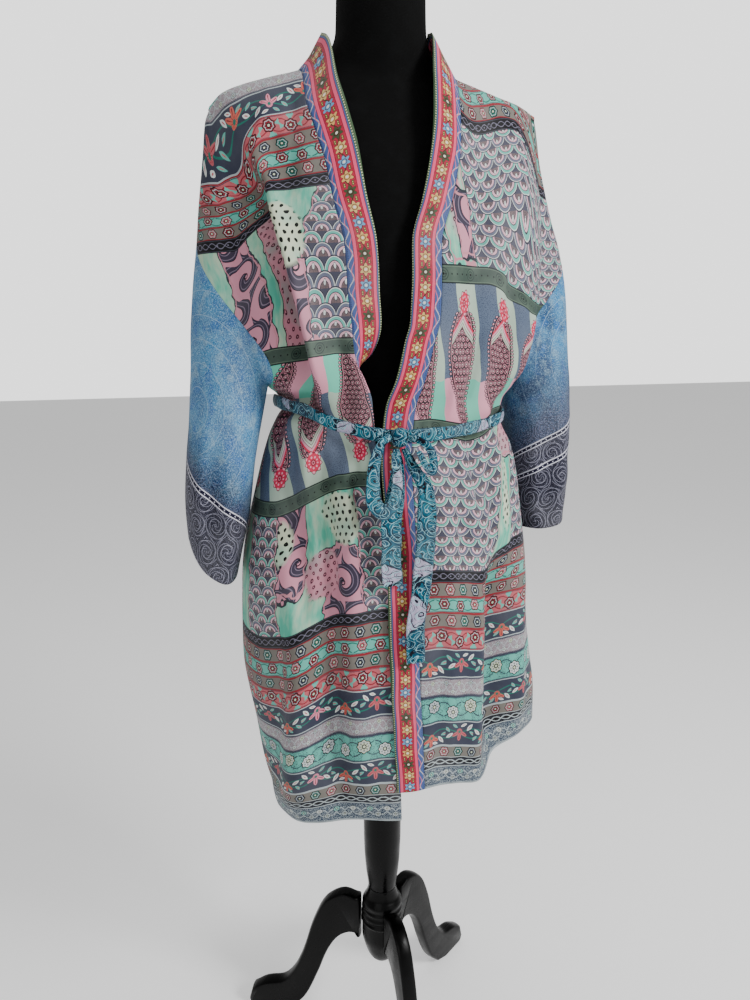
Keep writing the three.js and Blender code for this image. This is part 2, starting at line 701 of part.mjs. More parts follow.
// Ribbons of the bow: an oval section carried along a path of points, its width lying across the path
function ribbon(path, width, thickness, count, sides = 6) {
  const curve = new THREE.CatmullRomCurve3(path.map((p) => new THREE.Vector3(...p)), false, "centripetal");
  const forward = new THREE.Vector3(0, -1, 0);
  const rings = curve.getSpacedPoints(count).map((middle, i) => {
    const t = i / count;
    const tangent = curve.getTangentAt(clamp(t, 0.001, 0.999));
    const across = new THREE.Vector3().crossVectors(forward, tangent).normalize();
    const out = new THREE.Vector3().crossVectors(tangent, across).normalize();
    return steps(0, sides, sides).slice(0, sides).map((k) => {
      const angle = (k * 2 * Math.PI) / sides;
      return middle.clone()
        .addScaledVector(across, (width(t) / 2) * Math.cos(angle))
        .addScaledVector(out, (thickness / 2) * Math.sin(angle));
    });
  });
  return ringBody(rings);
}

const BOW = {
  belt_loop_right: {
    path: [
      [-35, -134, 1003], [-50, -147, 994], [-64, -160, 962], [-66, -166, 935],
      [-52, -168, 917], [-40, -168, 930], [-36, -164, 955], [-35, -153, 985],
    ],
    width: (t) => 9 + 8 * Math.sin(Math.PI * t),
    thickness: 5,
    count: 18,
  },
  belt_loop_left: {
    path: [
      [-9.6, -134.6, 1001], [3, -149, 995], [12, -158, 976], [9, -162, 962], [0, -162, 970], [-6, -156, 986],
    ],
    width: (t) => 7 + 4 * Math.sin(Math.PI * t),
    thickness: 4,
    count: 12,
  },
  belt_tail_right: {
    path: [
      [-28, -135, 986.8], [-29, -148, 970], [-36, -156, 930], [-41, -158, 890], [-41, -161, 850],
      [-40, -163, 824],
    ],
    width: (t) => mix(8, 26, smooth(0, 0.45, t)),
    thickness: 3,
    count: 12,
  },
  belt_tail_left: {
    path: [
      [-17, -135, 986.6], [-13, -151, 970], [0, -168, 936], [0, -169, 880], [-6, -169, 820], [-12, -169, 760],
      [-12, -169, 722],
    ],
    width: (t) => mix(8, 25, smooth(0, 0.35, t)),
    thickness: 3,
    count: 14,
  },
};

function knot() {
  const sides = 10;
  const rings = steps(-1, 1, 6).map((t) => {
    const size = Math.sqrt(Math.max(0.45, 1 - Math.abs(t) ** 3)) / 2;
    return steps(0, sides - 1, sides - 1).map((i) => {
      const angle = (i * 2 * Math.PI) / sides;
      return new THREE.Vector3(
        KNOT.x + KNOT_SIZE.width * size * Math.cos(angle),
        KNOT.y + KNOT_SIZE.depth * size * Math.sin(angle),
        KNOT.z + (KNOT_SIZE.height / 2) * t,
      );
    });
  });
  return ringBody(rings);
}

// The dress form and its stand
const FORM_LEVELS = [
  FORM_BOTTOM, 772, 800, 860, 900, 950, 1000, 1030, 1070, 1120, 1180, 1240, 1290, 1335, 1370, 1397, 1412,
  1422, 1435, 1444, 1456, 1485, 1515, FORM_TOP,
];

function formTorso() {
  const rings = FORM_LEVELS.map((height) => {
    const soft = height === FORM_BOTTOM ? -8 : 0;
    return steps(0, 23, 23).map((i) => formPoint(height, (i * Math.PI) / 12, soft));
  });
  return ringBody(rings);
}

function spun(profile, sides, centreY = 0) {
  const points = profile.map(([radius, height]) => new THREE.Vector2(radius, height));
  const geometry = new THREE.LatheGeometry(points, sides);
  geometry.rotateX(Math.PI / 2);
  geometry.translate(0, centreY, 0);
  return geometry;
}

const NECK_CAP = [
  [0, FORM_TOP + SEAM], [54, FORM_TOP + SEAM], [54, 1550], [50, 1555], [38, 1560], [20, 1562.5], [0, 1563],
];
const POST = [
  [0, POST_BOTTOM], [21.5, POST_BOTTOM], [22.7, 274], [26, 300], [28, 330], [29, 374], [29, 560],
  [29, FORM_BOTTOM - SEAM], [0, FORM_BOTTOM - SEAM],
];
const HUB = [
  [0, 127], [12, 129], [21, 139], [28, 158], [HUB_RADIUS, 178], [HUB_RADIUS, 200], [33.5, 204], [31, 209],
  [33, 215], [31, 221], [32.5, 226], [30.5, 231], [31.5, 237], [29, 243], [26, 248], [22.5, 260],
  [21.5, POST_BOTTOM - SEAM], [0, POST_BOTTOM - SEAM],
];

// A leg's side outline, out from the axis and up: over the knee, down the shin, to a pad on the floor
const LEG_TOP = [[60, 244], [92, 226], [114, 182], [130, 128], [148, 84], [170, 58], [198, 50], [222, 34]];
const LEG_UNDER = [[150, 8], [128, 34], [106, 84], [88, 132], [66, 164], [48, 172]];
const LEG_ROOT = HUB_RADIUS + 2;

function leg(angle) {
  const shape = new THREE.Shape();
  shape.moveTo(LEG_ROOT, 236);
  shape.splineThru(LEG_TOP.map((p) => new THREE.Vector2(...p)));
  shape.lineTo(228, 12);
  shape.lineTo(220, 0);
  shape.lineTo(172, 0);
  shape.splineThru(LEG_UNDER.map((p) => new THREE.Vector2(...p)));
  shape.lineTo(LEG_ROOT, 166);
  const bevel = 4;
  const geometry = new THREE.ExtrudeGeometry(shape, {
    depth: LEG_THICKNESS - 2 * bevel,
    curveSegments: 2,
    bevelEnabled: true,
    bevelThickness: bevel,
    bevelSize: bevel,
    bevelOffset: -bevel,
    bevelSegments: 1,
  });
  geometry.translate(0, 0, bevel - LEG_THICKNESS / 2);
  geometry.rotateX(Math.PI / 2);
  geometry.rotateZ(angle * RADIANS);
  return geometry;
}

// The scene: one named mesh for each piece
const cloth = (color) => new THREE.MeshStandardMaterial({ color, roughness: 0.62, metalness: 0 });
const black = (roughness) => new THREE.MeshStandardMaterial({ color: 0x161818, roughness, metalness: 0 });
const PRINT = 0x9c948a;
const SKY = 0x6fa5cd;
const RED = 0xcd465a;
const TEAL = 0x147891;

const group = new THREE.Group();
function add(name, geometry, material) {
  const mesh = new THREE.Mesh(geometry, material);
  mesh.name = name;
  group.add(mesh);
}

add("form_torso", formTorso(), black(0.9));
add("form_neck_cap", spun(NECK_CAP, 24, NECK_CENTRE), black(0.9));
add("post", spun(POST, 20), black(0.35));
add("hub", spun(HUB, 20), black(0.3));
LEG_ANGLES.forEach((angle, i) => add(`leg_${i + 1}`, leg(angle), black(0.3)));
add("back", backPanel(), cloth(PRINT));
add("front_right", frontPanel("right"), cloth(PRINT));
add("front_left", frontPanel("left"), cloth(PRINT));
add("sleeve_right", sleeve("right"), cloth(SKY));
add("sleeve_left", sleeve("left"), cloth(SKY));
add("band_right", band("right"), cloth(RED));
add("band_left", band("left"), cloth(RED));
add("belt_waist", beltWaist(), cloth(TEAL));
add("belt_knot", knot(), cloth(TEAL));
Object.entries(BOW).forEach(([name, piece]) => {
  add(name, ribbon(piece.path, piece.width, piece.thickness, piece.count), cloth(TEAL));
});

// The origin is on the floor, under the middle of the whole box
const middle = new THREE.Box3().setFromObject(group).getCenter(new THREE.Vector3());
group.position.set(-middle.x, -middle.y, 0);

export default group;
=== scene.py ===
"""Kimono jacket on a dress form: the looks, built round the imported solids.

Tables and sizes are in millimetres, in the frame of the form's own axis. Meshes are in metres, in
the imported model's frame. "Right" and "left" are the wearer's: the right front lies under the left.
A level is a height on the cloth as it is cut, from the hem at 480 to the shoulder at 1460.
"""

import logging
import math
from dataclasses import dataclass
from enum import Enum
from typing import Callable, Optional, Sequence, Union

import bmesh
import bpy
import numpy as np
from mathutils import Euler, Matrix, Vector


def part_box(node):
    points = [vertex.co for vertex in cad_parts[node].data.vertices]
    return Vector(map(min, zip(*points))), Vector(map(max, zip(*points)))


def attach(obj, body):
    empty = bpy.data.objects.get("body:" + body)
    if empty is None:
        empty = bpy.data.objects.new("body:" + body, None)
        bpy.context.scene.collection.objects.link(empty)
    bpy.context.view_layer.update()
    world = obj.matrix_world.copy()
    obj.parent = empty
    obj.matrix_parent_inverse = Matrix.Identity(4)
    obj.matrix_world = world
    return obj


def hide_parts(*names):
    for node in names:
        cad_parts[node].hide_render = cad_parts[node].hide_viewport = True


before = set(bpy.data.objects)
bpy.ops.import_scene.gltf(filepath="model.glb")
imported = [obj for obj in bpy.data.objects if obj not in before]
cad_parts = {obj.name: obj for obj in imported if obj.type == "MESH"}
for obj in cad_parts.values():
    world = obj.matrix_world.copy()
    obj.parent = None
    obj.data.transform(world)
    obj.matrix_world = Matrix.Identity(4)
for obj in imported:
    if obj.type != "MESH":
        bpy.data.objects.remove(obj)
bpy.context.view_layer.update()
LOG = logging.getLogger("kimono_jacket")
Array = np.ndarray
Number = Union[float, Array]

METRES = 0.001
CLOTH = 0.9
ARM_START = (600.0, 760.0)
ARM_END = (830.0, 985.0)
OVERLAP_LIFT = 5.4
BAND_SEAM = 0.3
BAND_WIDTH = 37.0
BAND_TUCK = 1.9
HEM = 480.0
UNDERARM = 1056.0
ARMHOLE_TOP = 1235.0
SHOULDER = 1460.0
BELT_LEVEL = 1018.0
SHIFT_TOP = 1000.0
BELT_HEIGHT = 16.0
BELT_THICKNESS = 4.5
GATHERS = 16
GATHER_DEPTH = 6.5
GATHERS_ABOVE = 30.0
GATHERS_BELOW = 52.0
WAVES_TOP = 900.0
HEM_WAVES = ((4.5, 5, 0.6), (3.2, 9, 2.1))
LAP_EDGE = (20.0, 90.0)
LAP_TOP = (1120.0, 1240.0)
FALL_START = 1180.0
SECTION_POWER = 2.3
TURN_WIDTH = 180.0
TURN_DEPTH = 127.0
JOIN_POWER = 3.4
FADE_DEPTH = 22.0
FORM_CLEARANCE = 1.8
SHOULDER_SLACK = 0.6
SLOPE_START = (1375.0, 1405.0)
SLOPE_END = (1450.0, 1475.0)
NECK_CENTRE = 14.0
NECK_DIP = 46.0
FORM_TOP = 1545.0
FORM_BOTTOM = 760.0
LEG_THICKNESS = 22.0
LEG_ANGLES = (33.0, -87.0, 153.0)
SEAM = 0.34


class Side(Enum):
    """The wearer's side."""

    RIGHT = "right"
    LEFT = "left"


class Face(Enum):
    """Front or back of the garment."""

    FRONT = "front"
    BEHIND = "behind"


def smooth(low: float, high: float, value: Number) -> Number:
    """Soft step: 0 below low, 1 above high, t squared times (3 - 2 t) between.

    Args:
        low: where the step starts.
        high: where it ends.
        value: the place or places to read.

    Returns:
        The step's height at each place.
    """
    t = np.clip((np.asarray(value, float) - low) / (high - low), 0.0, 1.0)
    return t * t * (3.0 - 2.0 * t)


def bell(distance: Number, width: Number) -> Number:
    """Bell curve: e to the power of minus half the squared distance over width."""
    return np.exp(-0.5 * (distance / width) ** 2)


def mix(a: Number, b: Number, t: Number) -> Number:
    """Straight blend from a at t = 0 to b at t = 1."""
    return a + (b - a) * t


class Table:
    """Rows of named columns, read as smooth curves that never overshoot their rows."""

    def __init__(self, names: str, rows: Sequence[Sequence[float]]) -> None:
        """Sorts the rows and works out each column's tangents.

        Args:
            names: column names apart by spaces; the first says where each row stands.
            rows: one list of numbers for each row.
        """
        data = np.array(sorted(rows, key=lambda row: row[0]), float)
        self.at = data[:, 0]
        self.step = np.diff(self.at)
        self.values = {name: data[:, i + 1] for i, name in enumerate(names.split()[1:])}
        self.tangents = {name: self._tangents(column) for name, column in self.values.items()}

    def _tangents(self, column: Array) -> Array:
        """Harmonic mean of the two slopes at each row, and 0 where the column turns."""
        slope = np.diff(column) / self.step
        product = slope[:-1] * slope[1:]
        total = slope[:-1] + slope[1:]
        inner = np.where(product > 0, 2.0 * product / np.where(total == 0, 1.0, total), 0.0)
        return np.concatenate([slope[:1], inner, slope[-1:]])

    def __call__(self, name: str, where: Number) -> Array:
        """Reads one column.

        Args:
            name: the column.
            where: places to read it at.

        Returns:
            The column's values there.
        """
        column = self.values[name]
        tangent = self.tangents[name]
        x = np.clip(np.asarray(where, float), self.at[0], self.at[-1])
        i = np.clip(np.searchsorted(self.at, x, side="right") - 1, 0, len(self.at) - 2)
        h = self.step[i]
        t = (x - self.at[i]) / h
        rise = h * t * (1 - t) * ((1 - t) * tangent[i] - t * tangent[i + 1])
        return mix(column[i], column[i + 1], t * t * (3 - 2 * t)) + rise


@dataclass(frozen=True)
class Fold:
    """A soft trough or ridge over a panel: x at its low and high level, width, and depth outwards."""

    low_x: float
    high_x: float
    low: float
    high: float
    width: float
    depth: float

    def push(self, x: Array, level: Array) -> Array:
        """How far the fold moves the cloth outwards.

        Args:
            x: distance from the centre line.
            level: level of the cloth.

        Returns:
            Depth times a bell across the fold's line, faded at both ends.
        """
        along = (level - self.low) / (self.high - self.low)
        line = mix(self.low_x, self.high_x, along)
        ends = smooth(-0.12, 0.2, along) * (1 - smooth(0.75, 1.1, along))
        return self.depth * ends * bell(x - line, self.width)


@dataclass(frozen=True)
class Cut:
    """One half of the jacket's body: its outline by level, its drop, hem and front edge."""

    sign: float
    body: Table
    drop: Table
    hem: Table
    hem_behind: Table
    edge: Table
    neck: float
    armhole_power: float
    lift: float
    folds: dict[Face, tuple[Fold, ...]]


@dataclass(frozen=True)
class SleeveCut:
    """A sleeve below the underarm: its tube by level, its cuff's level round it, and its folds."""

    tube: Table
    cuff: Table
    folds: tuple[tuple[Face, float, float, float, float, float], ...]


FORM = Table("height half front behind centre power", [
    [760, 138, 92, 96, 4, 2.15], [800, 158, 104, 108, 4, 2.15], [860, 164, 108, 114, 4, 2.15],
    [940, 142, 96, 100, 2, 2.15], [1020, 116, 84, 84, 0, 2.15], [1100, 128, 92, 88, 0, 2.15],
    [1180, 146, 110, 92, 2, 2.15], [1250, 152, 106, 94, 4, 2.15], [1320, 166, 90, 90, 8, 2.15],
    [1370, 174, 72, 74, 11, 1.9], [1397, 166, 62, 63, 12, 1.55], [1412.5, 150, 57, 58, 13, 1.4],
    [1422.5, 126, 54, 55, 14, 1.4], [1435, 94, 53, 54, 14, 1.5], [1452, 71, 54, 54, 14, 1.8],
    [1485, 57, 55, 55, 14, 2], [1545, 55, 55, 55, 14, 2],
])

BODY = Table("level front behind wing centre", [
    [480, 142, 140, 60, 0], [600, 150, 146, 60, 0], [760, 151, 144, 60, 0], [840, 145, 138, 60, 0],
    [900, 136, 128, 60, 0], [960, 122, 114, 60, 0], [1000, 113, 102, 60, 0], [1035, 109, 97, 59, 0],
    [1056, 113, 98, 57, 0], [1120, 124, 102, 52, 0], [1180, 127, 106, 48, 1], [1260, 117, 106, 45, 4],
    [1330, 102, 96, 42, 8], [1380, 85, 82, 37, 11], [1415, 65, 64, 31, 13], [1440, 43, 43, 21, 14],
    [1452, 25, 25, 12, 14], [1460, 0, 0, 0, 14],
])

CUTS = {
    Side.RIGHT: Cut(
        sign=-1.0,
        body=Table("level side reach inner fold", [
            [480, 163, 163, 158, 258], [540, 179, 179, 158, 258], [600, 188, 188, 158, 258],
            [706, 203, 203, 158, 258], [803, 200, 200, 158, 258], [924, 177, 177, 158, 258],
            [990, 158, 158, 158, 258], [1012, 147, 147, 158, 258], [1030, 135, 135, 158, 257],
            [1046, 147, 147, 158, 257], [1056, 158, 158, 158, 256], [1080, 158, 174, 146, 254],
            [1120, 158, 186, 136, 252], [1170, 158, 196, 130, 247], [1235, 158, 202, 126, 239],
            [1300, 158, 204, 124, 234], [1400, 158, 205, 122, 225], [1440, 158, 205, 122, 221],
            [1460, 158, 205, 122, 214],
        ]),
        drop=Table("x fall", [
            [0, -37], [50, -20], [80, 6], [95, 20], [144, 36], [174, 46], [198, 57], [214, 74],
        ]),
        hem=Table("x shift", [[0, 6], [20, 4], [75, 2], [120, -5], [163, -20]]),
        hem_behind=Table("x shift", [[0, 15], [80, 0], [163, -20]]),
        edge=Table("level x", [
            [480, 19], [600, 26], [700, 34], [850, 40], [950, 44], [1012, 46], [1040, 48], [1066, 58],
            [1095, 72], [1139, 78], [1171, 82], [1224, 84], [1274, 93], [1321, 98], [1363, 105],
            [1413, 111], [1460, 106],
        ]),
        neck=106.0, armhole_power=1.0, lift=0.0,
        folds={
            Face.FRONT: (
                Fold(122, 196, 1030, 1350, 11, -21), Fold(104, 172, 1040, 1290, 10, 9),
                Fold(150, 160, 1290, 1400, 11, -8), Fold(66, 82, 900, 1004, 11, -13),
                Fold(118, 124, 560, 960, 16, -12), Fold(86, 84, 520, 900, 13, 8),
                Fold(150, 142, 480, 820, 13, 11),
            ),
            Face.BEHIND: (
                Fold(60, 40, 520, 980, 20, -14), Fold(130, 110, 500, 940, 18, 12),
                Fold(110, 160, 1040, 1330, 15, -15),
            ),
        },
    ),
    Side.LEFT: Cut(
        sign=1.0,
        body=Table("level side reach inner fold", [
            [480, 229, 229, 174, 280], [540, 227, 227, 174, 280], [600, 219, 219, 174, 280],
            [677, 211, 211, 174, 280], [788, 205, 205, 174, 280], [875, 195, 195, 174, 280],
            [920, 190, 190, 174, 280], [967, 181, 181, 174, 280], [996, 168, 168, 174, 280],
            [1012, 162, 162, 174, 279], [1034, 166, 166, 174, 278], [1056, 174, 174, 174, 277],
            [1080, 174, 190, 162, 275], [1120, 174, 201, 150, 272], [1170, 174, 207, 140, 268],
            [1235, 174, 210, 134, 256], [1290, 174, 210, 130, 242], [1350, 174, 210, 126, 231],
            [1400, 174, 210, 124, 224], [1440, 174, 208, 122, 221], [1460, 174, 208, 122, 218],
        ]),
        drop=Table("x fall", [
            [0, -37], [50, -20], [75, 3], [93, 16], [120, 23], [152, 31], [193, 41], [218, 54],
        ]),
        hem=Table("x shift", [
            [-40, 50], [20, 50], [64, 42], [95, 36], [130, 52], [180, 64], [229, 66],
        ]),
        hem_behind=Table("x shift", [[0, 15], [80, 34], [229, 66]]),
        edge=Table("level x", [
            [480, 10], [650, -1], [770, -5], [950, -5], [1009, 1], [1037, 6], [1068, 15], [1114, 23],
            [1133, 28], [1168, 30], [1224, 33], [1266, 48], [1327, 66], [1400, 78], [1460, 92],
        ]),
        neck=92.0, armhole_power=1.5, lift=OVERLAP_LIFT,
        folds={
            Face.FRONT: (
                Fold(96, 92, 900, 1004, 11, -14), Fold(142, 132, 470, 830, 20, -40),
                Fold(88, 84, 470, 800, 17, 10), Fold(138, 150, 1045, 1180, 16, 11),
                Fold(60, 96, 1050, 1300, 13, -7), Fold(40, 36, 560, 940, 15, 7),
            ),
            Face.BEHIND: (
                Fold(40, 30, 480, 900, 22, -13), Fold(150, 120, 500, 980, 22, 14),
                Fold(100, 158, 1045, 1340, 15, -16), Fold(200, 150, 500, 900, 17, -12),
            ),
        },
    ),
}

CREASE_ROWS = {
    (Side.RIGHT, Face.FRONT): (
        (119, 191, 1035, 1370, 8, -17), (105, 175, 1035, 1340, 8, 15),
        (138, 164, 1040, 1200, 6, -7), (72, 95, 1026, 1130, 6, -5), (90, 104, 1026, 1110, 5, 4),
        (58, 50, 830, 1002, 6, -6), (106, 114, 780, 1002, 7, -10), (82, 84, 860, 1002, 5, 5),
        (142, 152, 760, 1002, 7, -10), (126, 132, 840, 1000, 5, 4), (100, 110, 490, 760, 9, -7),
        (64, 70, 500, 700, 10, 5), (176, 168, 500, 800, 8, -7), (140, 126, 1290, 1440, 8, -5),
        (178, 150, 1330, 1440, 8, 5),
    ),
    (Side.LEFT, Face.FRONT): (
        (120, 142, 1042, 1210, 8, -9), (162, 176, 1048, 1160, 8, 8), (80, 92, 1026, 1130, 6, -6),
        (55, 62, 1026, 1110, 5, 4), (60, 55, 830, 1002, 6, -6), (112, 120, 840, 1002, 6, -7),
        (80, 84, 860, 1002, 5, 4), (166, 150, 800, 1002, 8, -7), (108, 112, 500, 780, 10, -8),
        (30, 26, 500, 780, 9, -5), (186, 180, 500, 800, 8, 6), (140, 128, 1290, 1440, 8, -5),
        (96, 106, 1200, 1380, 9, -5),
    ),
    (Side.RIGHT, Face.BEHIND): (
        (20, 26, 850, 1002, 7, -6), (62, 74, 860, 1002, 7, -7), (104, 114, 830, 1002, 7, -6),
        (86, 92, 870, 1002, 5, 4), (30, 52, 1028, 1160, 7, -5), (82, 106, 1028, 1200, 7, -6),
        (132, 152, 1040, 1220, 8, -6), (90, 96, 500, 760, 10, -7),
    ),
    (Side.LEFT, Face.BEHIND): (
        (26, 30, 860, 1002, 7, -6), (70, 80, 840, 1002, 7, -7), (118, 126, 850, 1002, 7, -6),
        (94, 100, 870, 1002, 5, 4), (40, 58, 1028, 1150, 7, -5), (92, 118, 1028, 1210, 7, -6),
        (140, 160, 1040, 1200, 8, -6), (120, 116, 500, 780, 10, -7),
    ),
}
CREASES = {place: tuple(Fold(*row) for row in rows) for place, rows in CREASE_ROWS.items()}

SLEEVE_CUTS = {
    Side.RIGHT: SleeveCut(
        tube=Table("level inner outer front behind centre", [
            [800, 209, 262, 50, 50, 2], [850, 197, 268, 55, 55, 2], [900, 186, 270, 58, 58, 2],
            [960, 178, 266, 60, 58, 1], [1010, 168, 260, 60, 58, 0], [1056, 158, 256, 57, 57, 0],
        ]),
        cuff=Table("round level", [[0, 812], [0.35, 806], [0.7, 822], [1, 862]]),
        folds=(
            (Face.FRONT, 0.62, 850, 1120, 0.075, -11), (Face.FRONT, 0.32, 800, 960, 0.1, 7),
            (Face.BEHIND, 0.5, 820, 1090, 0.09, -9),
        ),
    ),
    Side.LEFT: SleeveCut(
        tube=Table("level inner outer front behind centre", [
            [800, 216, 276, 48, 48, 14], [850, 211, 286, 52, 54, 14], [900, 204, 289, 55, 58, 13],
            [960, 195, 287, 57, 58, 10], [1010, 184, 283, 58, 58, 5], [1056, 174, 277, 57, 57, 0],
        ]),
        cuff=Table("round level", [[0, 838], [0.35, 840], [0.7, 846], [1, 872]]),
        folds=(
            (Face.FRONT, 0.45, 840, 1090, 0.09, -9), (Face.BEHIND, 0.55, 850, 1100, 0.09, -8),
        ),
    ),
}


def form_shift() -> Array:
    """The form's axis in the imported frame, in metres: the middle of the post."""
    low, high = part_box("post")
    return np.array([(low.x + high.x) / 2, (low.y + high.y) / 2, 0.0])


SHIFT = form_shift()


def clear_of_form(point: Array) -> Array:
    """Moves points straight out from the form's axis until they clear the form.

    Args:
        point: points with x, y and z in the last axis.

    Returns:
        The moved points. Below the form nothing moves.
    """
    x, y, z = point[..., 0], point[..., 1], point[..., 2]
    centre = FORM("centre", z)
    inward = y - centre
    depth = np.where(inward < 0, FORM("front", z), FORM("behind", z))
    power = FORM("power", z)
    across = np.abs(x) / FORM("half", z)
    ratio = (across ** power + (np.abs(inward) / depth) ** power) ** (1 / power)
    radius = np.hypot(x, inward)
    slope = smooth(*SLOPE_START, z) * (1 - smooth(*SLOPE_END, z))
    wanted = radius / np.maximum(ratio, 1e-6) + FORM_CLEARANCE * (1 + SHOULDER_SLACK * slope)
    scale = np.where((radius < wanted) & (radius > 1) & (z > FORM_BOTTOM), wanted / np.maximum(radius, 1), 1)
    return np.stack([x * scale, centre + inward * scale, z], axis=-1)


def wave_depth(turn: Array, x: Array, inner: float, level: Array) -> Array:
    """Waves that grow towards the hem, and the belt's pleats.

    Args:
        turn: turn round the body.
        x: distance from the centre line.
        inner: where the armhole's underarm point lies.
        level: level of the cloth.

    Returns:
        Two sines of the turn below the belt, and a cosine of it near the belt.
    """
    hang = 1 - smooth(HEM, WAVES_TOP, level)
    waves = hang * sum(size * np.sin(count * turn + start) for size, count, start in HEM_WAVES)
    near = bell(level - BELT_LEVEL, np.where(level > BELT_LEVEL, GATHERS_ABOVE, GATHERS_BELOW))
    armhole = smooth(1030, UNDERARM, level) * smooth(0.7 * inner, 0.95 * inner, np.abs(x))
    pleats = GATHER_DEPTH * (np.cos(GATHERS * turn) * 0.5 - 0.5) * near * (1 - armhole)
    return waves + pleats


def section_depth(cut: Cut, face: Face, level: Array, x: Array) -> Array:
    """Depth of the cloth at x: the chest's oval and the hanging part's oval, joined softly.

    Args:
        cut: the half of the body.
        face: front or behind.
        level: level of the cloth.
        x: distance outwards from the centre line.

    Returns:
        Depth in front of or behind the form's axis.
    """
    depth = BODY(face.value, level)
    reach = np.where(level < UNDERARM, cut.body("side", level), cut.body("reach", level))
    inside = np.maximum(0, 1 - (np.abs(x) / reach) ** SECTION_POWER)
    chest = depth * inside ** (1 / SECTION_POWER)
    inner, fold = cut.body("inner", level), cut.body("fold", level)
    half = (fold - inner) / 2
    wing = BODY("wing", level) * np.sqrt(np.maximum(0, 1 - ((x - inner - half) / half) ** 2))
    joined = (chest ** JOIN_POWER + wing ** JOIN_POWER) ** (1 / JOIN_POWER)
    return np.where(level < UNDERARM, chest, joined)


def hem_share(level: Array) -> Array:
    """How much of the hem's shift a level takes: 1 at the hem, falling straight to 0 above it."""
    return np.clip((SHIFT_TOP - level) / (SHIFT_TOP - HEM), 0, 1)


def hem_shift(cut: Cut, face: Face, x: Array) -> Array:
    """How far the hem hangs below or above its level at x."""
    return cut.hem("shift", x) if face is Face.FRONT else cut.hem_behind("shift", np.abs(x))


def height_of(cut: Cut, face: Face, level: Array, x: Array) -> Array:
    """Height of a level: it takes the shoulder's fall near the top and the hem's shift at the hem.

    Args:
        cut: the half of the body.
        face: front or behind.
        level: level of the cloth.
        x: distance outwards from the centre line.

    Returns:
        Height over the floor.
    """
    shoulder = smooth(FALL_START, SHOULDER, level) * cut.drop("fall", np.abs(x))
    hem = hem_shift(cut, face, x)
    return level - shoulder + hem * hem_share(level)


def cloth_point(cut: Cut, face: Face, level: Number, x: Number, extra: Number = 0.0) -> Array:
    """Points of the cloth's outer face.

    Args:
        cut: the half of the body.
        face: front or behind.
        level: level of each point.
        x: distance outwards from the centre line.
        extra: how much further out each point lies.

    Returns:
        Points in millimetres: the section's depth, pushed out by folds, waves, pleats and extra.
    """
    level, x, extra = np.broadcast_arrays(*(np.asarray(v, float) for v in (level, x, extra)))
    sign = 1.0 if face is Face.BEHIND else -1.0
    depth = section_depth(cut, face, level, x)
    outer = np.maximum(cut.body("side", level), 1)
    turn = cut.sign * np.arctan2(x / TURN_WIDTH, -sign * np.maximum(depth, 0.001) / TURN_DEPTH)
    side = Side.LEFT if cut.sign > 0 else Side.RIGHT
    folds = sum(fold.push(x, level) for fold in cut.folds[face] + CREASES[side, face])
    waves = wave_depth(turn, x, float(cut.body("side", UNDERARM)), level)
    over = (1 - smooth(*LAP_EDGE, x)) * (1 - smooth(*LAP_TOP, level))
    lift = cut.lift * over if face is Face.FRONT else 0.0
    away = (folds + waves) * smooth(0, FADE_DEPTH, depth) + lift + extra
    nx = x / outer ** 2
    ny = np.maximum(depth, 1) / (BODY("front", level) + 1) ** 2
    length = np.hypot(nx, ny)
    point = np.stack([
        cut.sign * (x + away * nx / length),
        BODY("centre", level) + sign * (depth + away * ny / length),
        height_of(cut, face, level, x),
    ], axis=-1)
    return clear_of_form(point)


def print_height(side: Side, face: Face, level: Array, x: Array) -> Array:
    """Height of the print at a place: the rows follow the hem, and lean as the garment hangs.

    Args:
        side: the wearer's side.
        face: front or behind.
        level: level of the cloth.
        x: distance outwards from the centre line.

    Returns:
        Distance up the print in metres.
    """
    hem = hem_shift(CUTS[side], face, x)
    hem = mix(hem, float(np.mean(hem)), smooth(500, 620, level - HEM))
    above = (level - HEM) - hem * (1 - hem_share(level))
    over_arm = smooth(*ARM_START, above) * (1 - smooth(*ARM_END, above))
    if face is Face.FRONT and side is Side.RIGHT:
        lean = 27.0 * np.clip((x - 95) / 95, 0, 1) * smooth(0, 230, above) * (1 - smooth(560, 760, above))
        above = above + lean + 74.0 * smooth(160, 200, x) * over_arm - 27.0 * smooth(660, 780, above)
    elif face is Face.FRONT:
        lean = 34.0 * smooth(95, 180, x) * smooth(500, 620, above) * (1 - smooth(640, 760, above))
        lean = lean - 30.0 * smooth(85, 165, x) * smooth(690, 800, above)
        above = above - 0.105 * np.maximum(0, above - 500) + lean + 70.0 * smooth(166, 208, x) * over_arm
    return above * METRES


def armhole_round(cut: Cut, level: Array) -> Array:
    """How far round the arm the armhole seam has gone: 0 at the underarm, 1 at the outer fold."""
    share = np.clip((level - UNDERARM) / (ARMHOLE_TOP - UNDERARM), 0, 1)
    return share ** cut.armhole_power


def wing_x(cut: Cut, level: Array, around: Array) -> Array:
    """Distance from the centre line on the part over the arm, half a cosine from inner to outer."""
    start = float(cut.body("side", UNDERARM))
    return mix(start, cut.body("fold", level), (1 - np.cos(np.pi * around)) / 2)


def panel_end(cut: Cut, level: Array) -> Array:
    """Where a panel ends: at the side seam, then along the armhole seam, then at the outer fold."""
    wing = wing_x(cut, level, armhole_round(cut, level))
    return np.where(level <= UNDERARM, cut.body("side", level), wing)


def spread(level: Array, q: Array) -> Array:
    """Crowds columns together where the cloth turns round the side."""
    armhole = smooth(UNDERARM, 1110, level) * (1 - smooth(1190, ARMHOLE_TOP, level))
    return mix(q, np.sin(np.pi * q / 2), 1 - 0.75 * armhole)


